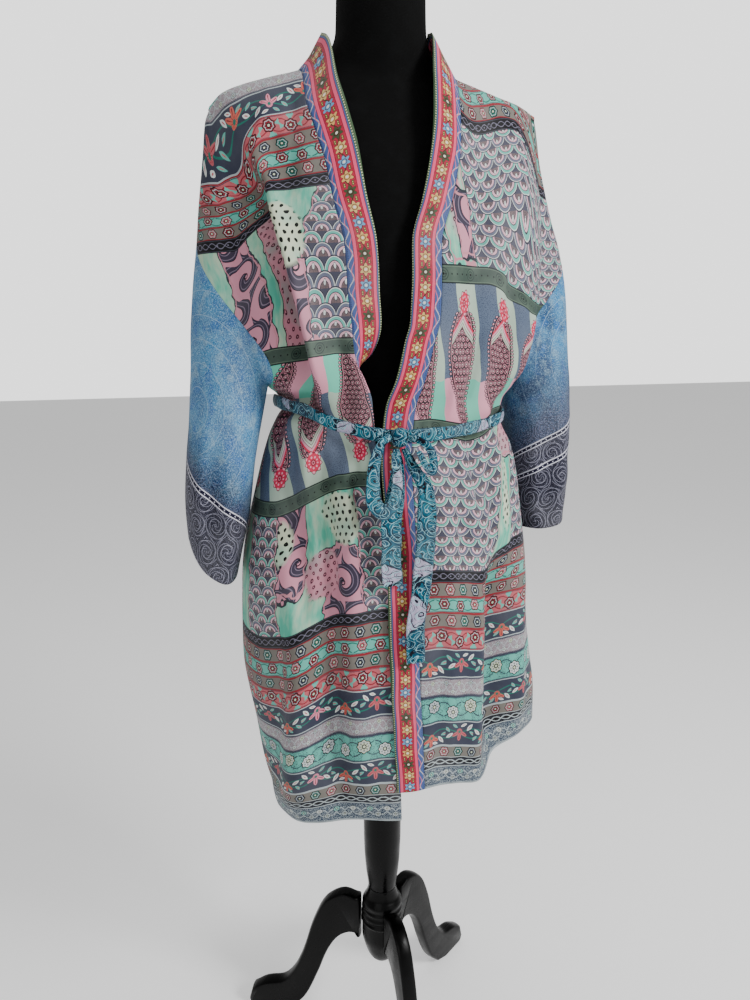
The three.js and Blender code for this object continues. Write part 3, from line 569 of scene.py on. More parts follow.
def distances(points: Array, power: float = 1.0) -> Array:
    """Running sum of the steps along a line of points, from 0.

    Args:
        points: the line's points.
        power: each step is raised to it.

    Returns:
        One number for each point.
    """
    steps = np.linalg.norm(np.diff(points, axis=0), axis=-1)
    return np.concatenate([[0], np.cumsum(steps ** power)])


def grid_quads(rows: int, columns: int, width: int) -> Array:
    """Corner numbers of the quads of a grid.

    Args:
        rows: rows of quads.
        columns: quads in a row.
        width: points in a row; if it equals columns, the last quad joins the first.

    Returns:
        Four numbers for each quad.
    """
    r, c = np.meshgrid(np.arange(rows), np.arange(columns), indexing="ij")
    corner = [(r, c), (r, c + 1), (r + 1, c + 1), (r + 1, c)]
    return np.stack([row * width + column % width for row, column in corner], -1).reshape(-1, 4)


def levels(below: int, armhole: int, above: int) -> Array:
    """Levels from hem to shoulder, with rows on the underarm and on the armhole's top.

    Args:
        below: rows below the underarm.
        armhole: rows along the armhole.
        above: rows above it, closer together towards the shoulder.

    Returns:
        The levels, lowest first.
    """
    top = ARMHOLE_TOP + (SHOULDER - ARMHOLE_TOP) * np.sin(np.linspace(0, np.pi / 2, above + 1))
    return np.concatenate([
        np.linspace(HEM, UNDERARM, below + 1)[:-1],
        np.linspace(UNDERARM, ARMHOLE_TOP, armhole + 1)[:-1],
        top,
    ])


@dataclass(frozen=True)
class Surface:
    """A grid of outer points, rows then columns, with its cloth coordinates in metres.

    uv has one column more if the grid is closed, so that its columns join up round a tube. flip says
    that the grid runs the other way round, so its faces are turned.
    """

    points: Array
    uv: Array
    closed: bool = False
    flip: bool = False

    def normals(self) -> Array:
        """Unit normals from differences along rows and columns, pointing outwards."""
        if self.closed:
            across = np.roll(self.points, -1, axis=1) - np.roll(self.points, 1, axis=1)
        else:
            across = np.gradient(self.points, axis=1)
        along = np.gradient(self.points, axis=0)
        normal = np.cross(across, along)
        normal /= np.maximum(np.linalg.norm(normal, axis=-1, keepdims=True), 1e-9)
        return -normal if self.flip else normal

    def shell(self, name: str, thickness: float = CLOTH, zone: Optional[Callable] = None) -> bpy.types.Object:
        """Builds the shell: outer grid, inner grid a thickness below it, and rims between them.

        Args:
            name: the piece's name.
            thickness: wall of the cloth in millimetres.
            zone: gives a material index from the cloth's v coordinate, or None for one material.

        Returns:
            The new object, riding on nothing yet.
        """
        rows, columns = self.points.shape[:2]
        wide = columns + 1 if self.closed else columns
        quads = grid_quads(rows - 1, wide - 1, columns)
        coords = grid_quads(rows - 1, wide - 1, wide)
        size = rows * columns
        rims, rim_coords = self._rims(rows, columns, wide)
        faces = np.concatenate([quads, quads[:, ::-1] + size, rims])
        loops = np.concatenate([coords, coords[:, ::-1], rim_coords])
        if self.flip:
            faces, loops = faces[:, ::-1], loops[:, ::-1]
        outer = self.points.reshape(-1, 3)
        inner = outer - self.normals().reshape(-1, 3) * thickness
        uv = self.uv.reshape(-1, 2)[loops]
        made = mesh_object(name, np.concatenate([outer, inner]), faces, uv.reshape(-1, 2))
        if zone is not None:
            index = zone(uv[..., 1].mean(axis=1)).astype(np.int32)
            made.data.polygons.foreach_set("material_index", index)
        return made

    def _rims(self, rows: int, columns: int, wide: int) -> tuple[Array, Array]:
        """Quads that join the outer and inner grids along their free edges.

        Args:
            rows: rows of points.
            columns: points in a row.
            wide: coordinates in a row.

        Returns:
            Vertex numbers and coordinate numbers, four for each quad.
        """
        size = rows * columns
        c = np.arange(wide - 1)
        low, low_next = c % columns, (c + 1) % columns
        high, high_next = low + (rows - 1) * columns, low_next + (rows - 1) * columns
        top = (rows - 1) * wide
        rims = [
            np.stack([low, low + size, low_next + size, low_next], -1),
            np.stack([high, high_next, high_next + size, high + size], -1),
        ]
        coords = [
            np.stack([c, c, c + 1, c + 1], -1),
            np.stack([top + c, top + c + 1, top + c + 1, top + c], -1),
        ]
        if not self.closed:
            r = np.arange(rows - 1) * columns
            end = r + columns - 1
            rims.append(np.stack([r, r + columns, r + columns + size, r + size], -1))
            rims.append(np.stack([end, end + size, end + columns + size, end + columns], -1))
            coords.append(np.stack([r, r + columns, r + columns, r], -1))
            coords.append(np.stack([end, end, end + columns, end + columns], -1))
        return np.concatenate(rims), np.concatenate(coords)


def linked(name: str, data: bpy.types.ID) -> bpy.types.Object:
    """Makes an object of a mesh, a lamp or a camera, and links it to the scene."""
    made = bpy.data.objects.new(name, data)
    bpy.context.scene.collection.objects.link(made)
    return made


def mesh_object(name: str, points: Array, faces: Array, uv: Array) -> bpy.types.Object:
    """Makes a mesh object from arrays, smooth shaded, at the origin.

    Args:
        name: the piece's name.
        points: vertices in millimetres, in the form's frame.
        faces: vertex numbers, four to a face.
        uv: cloth coordinates of each face corner, in metres.

    Returns:
        The linked object.
    """
    mesh = bpy.data.meshes.new(name)
    place = points * METRES + SHIFT
    mesh.vertices.add(len(place))
    mesh.vertices.foreach_set("co", place.astype(np.float32).ravel())
    mesh.loops.add(faces.size)
    mesh.loops.foreach_set("vertex_index", faces.astype(np.int32).ravel())
    mesh.polygons.add(len(faces))
    mesh.polygons.foreach_set("loop_start", np.arange(0, faces.size, 4, dtype=np.int32))
    mesh.polygons.foreach_set("loop_total", np.full(len(faces), 4, np.int32))
    mesh.polygons.foreach_set("use_smooth", np.ones(len(faces), bool))
    layer = mesh.uv_layers.new(name="cloth")
    layer.data.foreach_set("uv", uv.astype(np.float32).ravel())
    mesh.update(calc_edges=True)
    return linked(name, mesh)


def dress(piece: bpy.types.Object, materials: Sequence[bpy.types.Material], slot: str,
          *nodes: str) -> bpy.types.Object:
    """Gives a piece its materials and its body, and hides the solids that it stands for.

    Args:
        piece: the object.
        materials: its materials, in the order of its material numbers.
        slot: not used.
        nodes: CAD nodes that it replaces.

    Returns:
        The same object.
    """
    for material in materials:
        piece.data.materials.append(material)
    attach(piece, "root")
    if nodes:
        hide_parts(*nodes)
    triangles = sum(len(p.vertices) - 2 for p in piece.data.polygons)
    LOG.info("%s: %d triangles, stands for %s", piece.name, triangles, ", ".join(nodes) or "nothing")
    return piece


@dataclass(frozen=True)
class SheetCut:
    """The flat cut of a cloth piece, in metres, its area, how it is held and what it rests on."""

    width: float
    length: float
    area: float
    held: str
    rests_on: tuple[str, ...]

    def state(self, piece: bpy.types.Object, *others: bpy.types.Object) -> None:
        """Takes a piece and the pieces that go with it, and does nothing with them."""


SHEETS = {
    "front_right": SheetCut(0.285, 1.035, 0.214, "gathered", ("form_jersey",)),
    "front_left": SheetCut(0.335, 0.99, 0.238, "gathered", ("form_jersey",)),
    "back": SheetCut(0.605, 1.03, 0.497, "gathered", ("form_jersey",)),
    "sleeve_right": SheetCut(0.5, 0.37, 0.101, "hung", ("panel_back",)),
    "sleeve_left": SheetCut(0.52, 0.36, 0.099, "hung", ("panel_back",)),
    "band_right": SheetCut(0.039, 1.21, 0.046, "folded", ("form_jersey",)),
    "band_left": SheetCut(0.039, 1.16, 0.045, "folded", ("form_jersey",)),
    "belt_waist": SheetCut(0.036, 0.92, 0.0309, "folded", ("panel_back",)),
    "belt_loop_right": SheetCut(0.038, 0.2, 0.00595, "folded", ("knot_cloth",)),
    "belt_loop_left": SheetCut(0.025, 0.1, 0.00197, "folded", ("knot_cloth",)),
    "belt_tail_right": SheetCut(0.057, 0.172, 0.0085, "folded", ("knot_cloth",)),
    "belt_tail_left": SheetCut(0.056, 0.283, 0.0139, "folded", ("knot_cloth",)),
}


def row_lengths(points: Array, reference: Array) -> Array:
    """Distance along each row of a grid, measured from the column nearest a reference place.

    Args:
        points: the grid.
        reference: for each row, the fractional column that counts as 0.

    Returns:
        Signed length along the row at each point, in metres.
    """
    steps = np.linalg.norm(np.diff(points, axis=1), axis=-1)
    along = np.concatenate([np.zeros((len(points), 1)), np.cumsum(steps, axis=1)], axis=1)
    column = np.clip(reference, 0, points.shape[1] - 1)
    low = np.floor(column).astype(int)
    high = np.minimum(low + 1, points.shape[1] - 1)
    rows = np.arange(len(points))
    zero = mix(along[rows, low], along[rows, high], column - low)
    return (along - zero[:, None]) * METRES


@dataclass(frozen=True)
class FrontPanel:
    """One front of the jacket, from its band to its side and over the arm."""

    side: Side
    columns: int = 110
    rows: tuple[int, int, int] = (150, 50, 50)
    grain: float = 95.0

    def surface(self) -> Surface:
        """Grid from hem to shoulder: x runs from the front edge to the panel's end at each level."""
        cut = CUTS[self.side]
        level = levels(*self.rows)[:, None]
        q = np.linspace(0, 1, self.columns + 1)[None, :]
        start = cut.edge("x", level)
        x = mix(start, panel_end(cut, level), spread(level, q))
        points = cloth_point(cut, Face.FRONT, level, x)
        points[:, -1, 1] -= SEAM / 2
        points[-1, :-1, 1] -= SEAM / 2
        reference = np.array([np.interp(self.grain, row, np.arange(len(row))) for row in x])
        u = row_lengths(points, reference)
        v = print_height(self.side, Face.FRONT, level, x)
        return Surface(points, np.stack([u, v], -1), flip=self.side is Side.RIGHT)


@dataclass(frozen=True)
class BackPanel:
    """The whole back, in one piece, with its top dipping to the nape."""

    columns: int = 84
    neck_columns: int = 16
    rows: tuple[int, int, int] = (130, 44, 44)

    @staticmethod
    def level_at(cut: Cut, level: Array, x: Array) -> Array:
        """Level of the back, which is squeezed so that its top row dips behind the neck."""
        inside = np.clip(x / cut.neck, 0, 1)
        top = SHOULDER - NECK_DIP * (1 - inside ** 2) ** 0.6
        return HEM + (level - HEM) * (top - HEM) / (SHOULDER - HEM)

    def half(self, side: Side, level: Array) -> tuple[Array, Array]:
        """One half of the back, from the centre line outwards.

        Args:
            side: the wearer's side.
            level: the levels, as a column.

        Returns:
            Points and their print heights.
        """
        cut = CUTS[side]
        q = np.linspace(0, 1, self.columns + 1)[None, 1:]
        inner = np.linspace(0, cut.neck, self.neck_columns + 1)[None, :] + 0 * level
        outer = mix(cut.neck, panel_end(cut, level), spread(level, q))
        x = np.concatenate([inner, outer], axis=1)
        points = cloth_point(cut, Face.BEHIND, self.level_at(cut, level, x), x)
        points[:, -1, 1] += SEAM / 2
        points[-1, self.neck_columns:-1, 1] += SEAM / 2
        return points, print_height(side, Face.BEHIND, level, x)

    def surface(self) -> Surface:
        """Both halves as one grid, the wearer's left first."""
        level = levels(*self.rows)[:, None]
        left, left_heights = self.half(Side.LEFT, level)
        right, right_heights = self.half(Side.RIGHT, level)
        points = np.concatenate([left[:, ::-1], right[:, 1:]], axis=1)
        v = np.concatenate([left_heights[:, ::-1], right_heights[:, 1:]], axis=1)
        u = row_lengths(points, np.full(len(points), float(left.shape[1] - 1)))
        return Surface(points, np.stack([u, v], -1))


@dataclass(frozen=True)
class Sleeve:
    """A sleeve: a tube from the armhole seam to the cuff, with upright folds. Stations lie on its front."""

    side: Side
    stations: int = 62
    rows: int = 96

    def fold(self, face: Face, around: Array, level: Array) -> Array:
        """Upright folds, each a bell faded at both ends, and slanting wrinkles by the elbow: two sines.

        Args:
            face: front or behind.
            around: how far round the arm, 0 to 1.
            level: level of the cloth.

        Returns:
            Distance outwards.
        """
        depth = np.zeros(np.broadcast(around, level).shape)
        for on, middle, low, high, width, size in SLEEVE_CUTS[self.side].folds:
            if on is face:
                high = min(high, UNDERARM)
                ends = smooth(low - 30, low + 40, level) * (1 - smooth(high - 110, high, level))
                depth = depth + size * ends * bell(around - middle, width)
        wrinkles = np.sin(0.085 * level + 9 * around + 2 * np.sin(5 * around))
        wrinkles = wrinkles + 0.6 * np.sin(0.15 * level - 14 * around)
        crumpled = bell(level - 880, 55) + 0.45 * bell(level - 1000, 45) * smooth(UNDERARM, 1020, level)
        return depth + 2.1 * wrinkles * crumpled

    def point(self, face: Face, level: Array, around: Array) -> Array:
        """Points of the sleeve: the body's hanging part above the underarm, its own tube below.

        Args:
            face: front or behind.
            level: level of each point.
            around: how far round the arm, 0 to 1.

        Returns:
            Points in millimetres.
        """
        cut, tube = CUTS[self.side], SLEEVE_CUTS[self.side].tube
        upper = cloth_point(cut, face, np.maximum(level, UNDERARM), wing_x(cut, level, around))
        x = mix(tube("inner", level), tube("outer", level), (1 - np.cos(np.pi * around)) / 2)
        sign = 1.0 if face is Face.BEHIND else -1.0
        depth = (tube(face.value, level) + self.fold(face, around, level)) * np.sin(np.pi * around)
        lower = np.stack(np.broadcast_arrays(
            cut.sign * x, tube("centre", level) + sign * depth, level), axis=-1)
        return np.where((level >= UNDERARM)[..., None], upper, lower)

    def surface(self) -> Surface:
        """Columns go up the front of the armhole and down behind it; rows run down to the cuff."""
        cut = CUTS[self.side]
        seam = np.linspace(UNDERARM, ARMHOLE_TOP, self.stations + 1)
        t = np.linspace(1, 0, self.rows + 1)[:, None]
        halves = []
        for face, stations in ((Face.FRONT, seam), (Face.BEHIND, seam[1:-1][::-1])):
            around = armhole_round(cut, stations)[None, :] + 0 * t
            cuff = SLEEVE_CUTS[self.side].cuff("level", around)
            halves.append(self.point(face, mix(stations[None, :] + 0 * t, cuff, t), around))
        points = np.concatenate(halves, axis=1)
        looped = np.concatenate([points, points[:, :1]], axis=1)
        u = row_lengths(looped, np.full(len(points), float(self.stations)))
        v = (looped[..., 2] - 800.0) * METRES
        return Surface(points, np.stack([u, v], -1), closed=True, flip=self.side is Side.RIGHT)


BAND_TURNS = {
    Side.RIGHT: Table("level turn rise", [
        [480, 172, 0], [1020, 172, 0], [1045, 160, 0], [1070, 120, 0], [1100, 50, 0], [1140, 12, 0],
        [1200, 0, 2], [1321, 0, 6], [1413, 0, 14], [1440, 0, 24], [1460, 0, 36],
    ]),
    Side.LEFT: Table("level turn rise", [
        [480, 0, 0], [1200, 0, 0], [1327, 0, 5], [1400, 0, 12], [1440, 0, 26], [1460, 0, 38],
    ]),
}


@dataclass(frozen=True)
class Band:
    """Half of the long band: along a front's edge, up over the shoulder and round to the nape."""

    side: Side
    columns: int = 12
    rows: tuple[int, int, int] = (200, 60, 60)
    neck_rows: int = 44
    proud: float = 1.1

    def fullness(self, t: Array) -> Array:
        """The folded band stands a little proud between its edges."""
        return self.proud * np.sin(np.pi * t) ** 0.6

    def front_rows(self, level: Array, t: Array) -> Array:
        """Rows along the front: they continue the panel's edge, lean up at the neck or turn under.

        Args:
            level: the levels, as a column.
            t: places across the band, 0 at its seam and 1 at its free edge.

        Returns:
            Points in millimetres.
        """
        cut, turns = CUTS[self.side], BAND_TURNS[self.side]
        turn = np.radians(turns("turn", level))
        rise = np.radians(turns("rise", level))
        under = (1 - np.cos(turn)) / 2
        reach = BAND_SEAM + t * BAND_WIDTH
        x = cut.edge("x", level) - reach * np.cos(turn) * np.cos(rise)
        inwards = -(under * (CLOTH + BAND_TUCK) + reach * np.sin(turn)) + self.fullness(t) * (1 - under)
        points = cloth_point(cut, Face.FRONT, level, x, inwards)
        points[..., 2] += reach * np.sin(rise)
        return clear_of_form(points)

    def neck_rows_points(self, x: Array, t: Array) -> Array:
        """Rows behind the neck: they rise from the back's top and lean towards the neck.

        Args:
            x: distance from the centre line.
            t: places across the band.

        Returns:
            Points in millimetres.
        """
        cut = CUTS[self.side]
        level = BackPanel.level_at(cut, np.full_like(x, SHOULDER), x)
        low = cloth_point(cut, Face.BEHIND, level, x)
        inside = 1 - (x / cut.neck) ** 2
        lean = np.radians(mix(40, 80, inside))
        towards = np.stack([-low[..., 0], NECK_CENTRE - low[..., 1]], -1)
        towards /= np.linalg.norm(towards, axis=-1, keepdims=True)
        reach = BAND_SEAM + t * (BAND_WIDTH - 3 * inside)
        flat = reach * np.cos(lean)
        points = np.stack([
            low[..., 0] + towards[..., 0] * flat,
            low[..., 1] + towards[..., 1] * flat,
            low[..., 2] + reach * np.sin(lean),
        ], -1)
        return clear_of_form(points)

    def surface(self) -> Surface:
        """Front rows from the hem up, then neck rows to the nape's middle."""
        cut = CUTS[self.side]
        t = np.linspace(0, 1, self.columns + 1)[None, :]
        front = self.front_rows(levels(*self.rows)[:, None], t)
        x = np.linspace(cut.neck, 0, self.neck_rows + 1)[1:, None]
        behind = self.neck_rows_points(x + 0 * t, t)
        behind[-1, :, 0] = cut.sign * SEAM / 2
        points = np.concatenate([front, behind])
        middle = points[:, self.columns // 2]
        along = distances(middle)
        u = np.broadcast_to(along[:, None] * METRES, points.shape[:2])
        v = np.broadcast_to(t * BAND_WIDTH * METRES, points.shape[:2])
        return Surface(points, np.stack([u, v], -1), flip=self.side is Side.LEFT)


@dataclass(frozen=True)
class Tube:
    """Rings of points, one row for each step along a path, with their coordinates in metres."""

    rings: Array
    uv: Array

    def piece(self, name: str) -> bpy.types.Object:
        """Closes both ends with a point at the ring's middle and builds the mesh.

        Args:
            name: the piece's name.

        Returns:
            The new object.
        """
        count, sides = self.rings.shape[:2]
        first = self.rings[:1].mean(axis=1, keepdims=True) + 0 * self.rings[:1]
        last = self.rings[-1:].mean(axis=1, keepdims=True) + 0 * self.rings[-1:]
        points = np.concatenate([first, self.rings, last])
        uv = np.concatenate([self.uv[:1], self.uv, self.uv[-1:]])
        faces = grid_quads(count + 1, sides, sides)
        loops = grid_quads(count + 1, sides, sides + 1)
        return mesh_object(name, points.reshape(-1, 3), faces, uv.reshape(-1, 2)[loops].reshape(-1, 2))

    def cloth(self, name: str, wall: float = 0.45) -> bpy.types.Object:
        """Builds the strip as a hollow sleeve of cloth that is open at both ends.

        Args:
            name: the piece's name.
            wall: thickness of the cloth in millimetres.

        Returns:
            The new object.
        """
        middle = self.rings.mean(axis=1, keepdims=True)
        facing = (Surface(self.rings, self.uv, closed=True).normals() * (self.rings - middle)).sum(axis=-1)
        return Surface(self.rings, self.uv, closed=True, flip=bool(facing.mean() < 0)).shell(name, wall)


def outward(piece: bpy.types.Object) -> None:
    """Merges doubles and turns all faces outwards."""
    data = bmesh.new()
    data.from_mesh(piece.data)
    bmesh.ops.remove_doubles(data, verts=data.verts, dist=1e-6)
    bmesh.ops.recalc_face_normals(data, faces=data.faces)
    data.to_mesh(piece.data)
    data.free()


BELT_LEVELS = Table("turn level", [
    [-180, 1020], [-120, 1028], [-90, 1036], [-60, 1030], [-30, 1012], [-8, 1001],
    [0, 1000], [10, 1001], [40, 1008], [70, 1014], [90, 1017], [120, 1018], [180, 1020],
])
LAP_UNDER = (-90.0, -50.0)
WAIST_DEPTH = 110.0
KNOT = np.array([-22.0, -133.0, 1000.0])
KNOT_SIZE = np.array([22.0, 17.0, 24.0])


@dataclass(frozen=True)
class Belt:
    """The belt round the waist: a soft folded strip from one side of the knot to the other, in degrees."""

    steps: int = 360
    sides: int = 16
    first: float = -374.5
    last: float = -3.5

    def centre(self, turn: Array, offset: float) -> Array:
        """Points on the pleats' outline.

        Args:
            turn: turn round the body, 0 in front and growing to the wearer's left.
            offset: distance outside the outline.

        Returns:
            Points in millimetres.
        """
        level = BELT_LEVELS("level", np.degrees(turn))
        behind = np.abs(turn) > np.pi / 2
        edges = [level - BELT_HEIGHT / 2, level, level + BELT_HEIGHT / 2]
        sides = [[CUTS[side].body("side", e) for side in Side] for e in edges]
        reach = np.max([np.where(turn < 0, right, left) for right, left in sides], axis=0)
        depth = np.max([np.where(behind, BODY("behind", e), BODY("front", e)) for e in edges], axis=0)
        power = 2 / SECTION_POWER
        x = np.sign(turn) * reach * np.abs(np.sin(turn)) ** power
        y = np.where(behind, 1.0, -1.0) * depth * np.abs(np.cos(turn)) ** power
        normal = np.stack([x / reach ** 2, y / WAIST_DEPTH ** 2], -1)
        normal /= np.linalg.norm(normal, axis=-1, keepdims=True)
        overlap = smooth(*LAP_UNDER, x) * (1 - smooth(*LAP_EDGE, x))
        lift = np.where(behind, 0.0, OVERLAP_LIFT * overlap) + offset
        return np.stack([x + normal[:, 0] * lift, y + normal[:, 1] * lift, level], -1)

    def tube(self) -> Tube:
        """Oval sections 16 mm high round the waist, with lengthwise creases that drift."""
        turn = np.linspace(np.radians(self.first), np.radians(self.last), self.steps)
        wrapped = np.where(turn < -np.pi, turn + 2 * np.pi, turn)
        half = BELT_THICKNESS / 2
        middle = self.centre(wrapped, CLOTH + half)
        outer = self.centre(wrapped, CLOTH + half + 1) - middle
        outer[:, 2] = 0
        outer /= np.linalg.norm(outer, axis=-1, keepdims=True)
        angle = np.linspace(0, 2 * np.pi, self.sides + 1)[:-1]
        crease = 1 - 0.16 * (0.5 + 0.5 * np.sin(3 * angle[None] + 4 * turn[:, None])) \
            - 0.1 * np.sin(29 * turn[:, None] + 2 * angle[None])
        tall = (BELT_HEIGHT / 2) * (1 + 0.07 * np.sin(17 * turn)[:, None])
        rings = middle[:, None] + outer[:, None] * (half * np.sin(angle) * crease)[..., None]
        rings = rings + np.array([0, 0, 1.0]) * (tall * np.cos(angle)[None])[..., None]
        along = distances(middle)
        around = np.linspace(0, 2 * (BELT_HEIGHT + 2), self.sides + 1)
        uv = np.stack(np.broadcast_arrays(along[:, None], around[None, :]), -1) * METRES
        return Tube(rings, uv)


@dataclass(frozen=True)
class RibbonCut:
    """A stretch of the belt's cloth in the bow: its path, width from start to end, and folds."""

    path: tuple[tuple[float, float, float], ...]
    width: Table
    thickness: float
    pleats: float
    node: str


RIBBONS = (
    RibbonCut(
        path=((-35, -134, 1003), (-50, -147, 994), (-64, -160, 962), (-66, -166, 935),
              (-52, -168, 917), (-40, -168, 930), (-36, -164, 955), (-35, -153, 985)),
        width=Table("t width", [[0, 9], [0.25, 15], [0.5, 18], [0.8, 14], [1, 9]]),
        thickness=5.0, pleats=1.5, node="belt_loop_right",
    ),
    RibbonCut(
        path=((-9.6, -134.6, 1001), (3, -149, 995), (12, -158, 976), (9, -162, 962), (0, -162, 970),
              (-6, -156, 986)),
        width=Table("t width", [[0, 7], [0.5, 11], [1, 7]]),
        thickness=4.0, pleats=1.5, node="belt_loop_left",
    ),
    RibbonCut(
        path=((-28, -135, 986.8), (-29, -148, 970), (-36, -156, 930), (-41, -158, 890),
              (-41, -161, 850), (-40, -163, 824)),
        width=Table("t width", [[0, 8], [0.22, 18], [0.45, 26], [1, 26]]),
        thickness=3.0, pleats=2.5, node="belt_tail_right",
    ),
    RibbonCut(
        path=((-17, -135, 986.6), (-13, -151, 970), (0, -168, 936), (0, -169, 880), (-6, -169, 820),
              (-12, -169, 760), (-12, -169, 722)),
        width=Table("t width", [[0, 8], [0.18, 17], [0.35, 25], [1, 25]]),
        thickness=3.0, pleats=2.5, node="belt_tail_left",
    ),
)


@dataclass(frozen=True)
class Ribbon:
    """A loop or a tail of the bow."""

    cut: RibbonCut
    steps: int = 110
    sides: int = 28

    def line(self) -> Array:
        """A smooth line through the path's points, evenly stepped by its length."""
        path = np.array(self.cut.path, float)
        chord = distances(path, 0.75)
        curve = Table("at x y z", np.column_stack([chord, path]).tolist())
        fine = np.linspace(0, chord[-1], 800)
        points = np.stack([curve(axis, fine) for axis in "xyz"], -1)
        length = distances(points)
        even = np.linspace(0, length[-1], self.steps)
        return np.stack([np.interp(even, length, points[:, i]) for i in range(3)], -1)

    def tube(self) -> Tube:
        """Flat sections across the line, with lengthwise pleats that bend them in and out."""
        line = self.line()
        tangent = np.gradient(line, axis=0)
        tangent /= np.linalg.norm(tangent, axis=-1, keepdims=True)
        across = np.cross(np.array([0.0, -1.0, 0.0]), tangent)
        across /= np.linalg.norm(across, axis=-1, keepdims=True)
        out = np.cross(tangent, across)
        t = np.linspace(0, 1, self.steps)[:, None]
        angle = np.linspace(0, 2 * np.pi, self.sides + 1)[None, :-1]
        width = self.cut.width("width", t)
        lift = 0.42 * self.cut.pleats * np.sin(2 * np.pi * self.cut.pleats * np.cos(angle) * 0.5 + 3 * t)
        edge = 1 + 0.05 * np.sin(19 * t + np.sign(np.cos(angle)) * 2)
        rings = line[:, None] + across[:, None] * (width / 2 * edge * np.cos(angle))[..., None]
        rings = rings + out[:, None] * (self.cut.thickness / 2 * np.sin(angle) * 0.6 + lift)[..., None]
        along = np.linspace(0, distances(line)[-1], self.steps)
        around = np.linspace(0, 2 * float(width.max()), self.sides + 1)
        uv = np.stack(np.broadcast_arrays(along[:, None], around[None, :]), -1) * METRES
        return Tube(rings, uv)


@dataclass(frozen=True)
class Knot:
    """The belt's knot: a full oval with two wraps of cloth pressed into it."""

    steps: int = 40
    sides: int = 48
    around: float = 60.0
    height: float = 26.0

    def tube(self) -> Tube:
        """Rings of an oval whose radius is cut by slanting grooves."""
        t = np.linspace(-0.97, 0.97, self.steps)[:, None]
        angle = np.linspace(0, 2 * np.pi, self.sides + 1)[None, :-1]
        size = np.sqrt(np.maximum(0.05, 1 - np.abs(t) ** 3)) / 2
        groove = 1 - 0.09 * bell(np.sin(1.6 * angle + 2.2 * t + 0.5), 0.25) - 0.05 * np.sin(9 * t + 2 * angle)
        rings = np.stack(np.broadcast_arrays(
            KNOT[0] + KNOT_SIZE[0] * size * groove * np.cos(angle),
            KNOT[1] + KNOT_SIZE[1] * size * groove * np.sin(angle),
            KNOT[2] + KNOT_SIZE[2] / 2 * t + 0 * angle), -1)
        uv = np.stack(np.broadcast_arrays(
            np.linspace(0, self.around, self.sides + 1)[None, :],
            np.linspace(0, self.height, self.steps)[:, None]), -1) * METRES
        return Tube(rings, uv)


SPUN_STEPS = 6
SPUN_SIDES = 64


@dataclass(frozen=True)
class DressForm:
    """The covered torso."""

    rows: int = 150
    sides: int = 96

    def torso(self) -> Tube:
        """Oval sections by height; their squareness comes from the form's power column."""
        low = FORM_BOTTOM + np.array([0.5, 3.0, 8.0])
        height = np.concatenate([low, np.linspace(FORM_BOTTOM + 14, FORM_TOP, self.rows)])[:, None]
        angle = np.linspace(0, 2 * np.pi, self.sides + 1)[None, :-1]
        across, along = np.sin(angle), -np.cos(angle)
        power = 2 / FORM("power", height)
        depth = np.where(along < 0, FORM("front", height), FORM("behind", height))
        tuck = -8 * (1 - smooth(FORM_BOTTOM, FORM_BOTTOM + 14, height)) ** 2
        x = np.sign(across) * np.abs(across) ** power * (FORM("half", height) + tuck)
        y = FORM("centre", height) + np.sign(along) * np.abs(along) ** power * (depth + tuck)
        rings = np.stack(np.broadcast_arrays(x, y, height), -1)
        turn = np.linspace(0, 2 * np.pi, self.sides + 1)[None, :]
        uv = np.stack(np.broadcast_arrays(turn * 0.12, height * METRES), -1)
        return Tube(rings, uv)


def spun(profile: Sequence[tuple[float, float]], centre_y: float = 0.0) -> Tube:
    """Spins a profile about an upright axis.

    Args:
        profile: radius and height pairs, from the bottom up.
        centre_y: where the axis stands.

    Returns:
        Rings of points with their coordinates.
    """
    pairs = np.array(profile, float)
    at = np.arange(len(pairs))
    fine = np.linspace(0, len(pairs) - 1, SPUN_STEPS * (len(pairs) - 1) + 1)
    curve = Table("at radius height", np.column_stack([at, pairs]).tolist())
    radius, height = curve("radius", fine)[:, None], curve("height", fine)[:, None]
    angle = np.linspace(0, 2 * np.pi, SPUN_SIDES + 1)
    rings = np.stack(np.broadcast_arrays(
        radius * np.cos(angle[None, :-1]), centre_y + radius * np.sin(angle[None, :-1]), height), -1)
    uv = np.stack(np.broadcast_arrays(angle[None, :] * 0.03, height * METRES), -1)
    return Tube(rings, uv)


NECK_CAP = ((1, 1545.4), (54, 1545.4), (54, 1550), (50, 1555), (38, 1560), (20, 1562.5), (1, 1563))
POST = (
    (1, 265), (21.5, 265), (22.7, 274), (26, 300), (28, 330), (29, 374), (29, 560), (29, 759.5), (1, 759.6),
)
HUB = (
    (1, 127), (12, 129), (21, 139), (28, 158), (32, 178), (32, 200), (33.5, 204), (31, 209), (33, 215),
    (31, 221), (32.5, 226), (30.5, 231), (31.5, 237), (29, 243), (26, 248), (22.5, 260), (21.5, 264.6),
    (1, 264.6),
)
LEG_TOP = (
    (34, 236), (60, 244), (92, 226), (114, 182), (130, 128), (148, 84), (170, 58), (198, 50), (222, 34),
)
LEG_TOE = ((228, 12), (224, 3), (216, 0), (180, 0), (172, 0.5))
LEG_UNDER = ((150, 8), (128, 34), (106, 84), (88, 132), (66, 164), (48, 172), (34, 166))


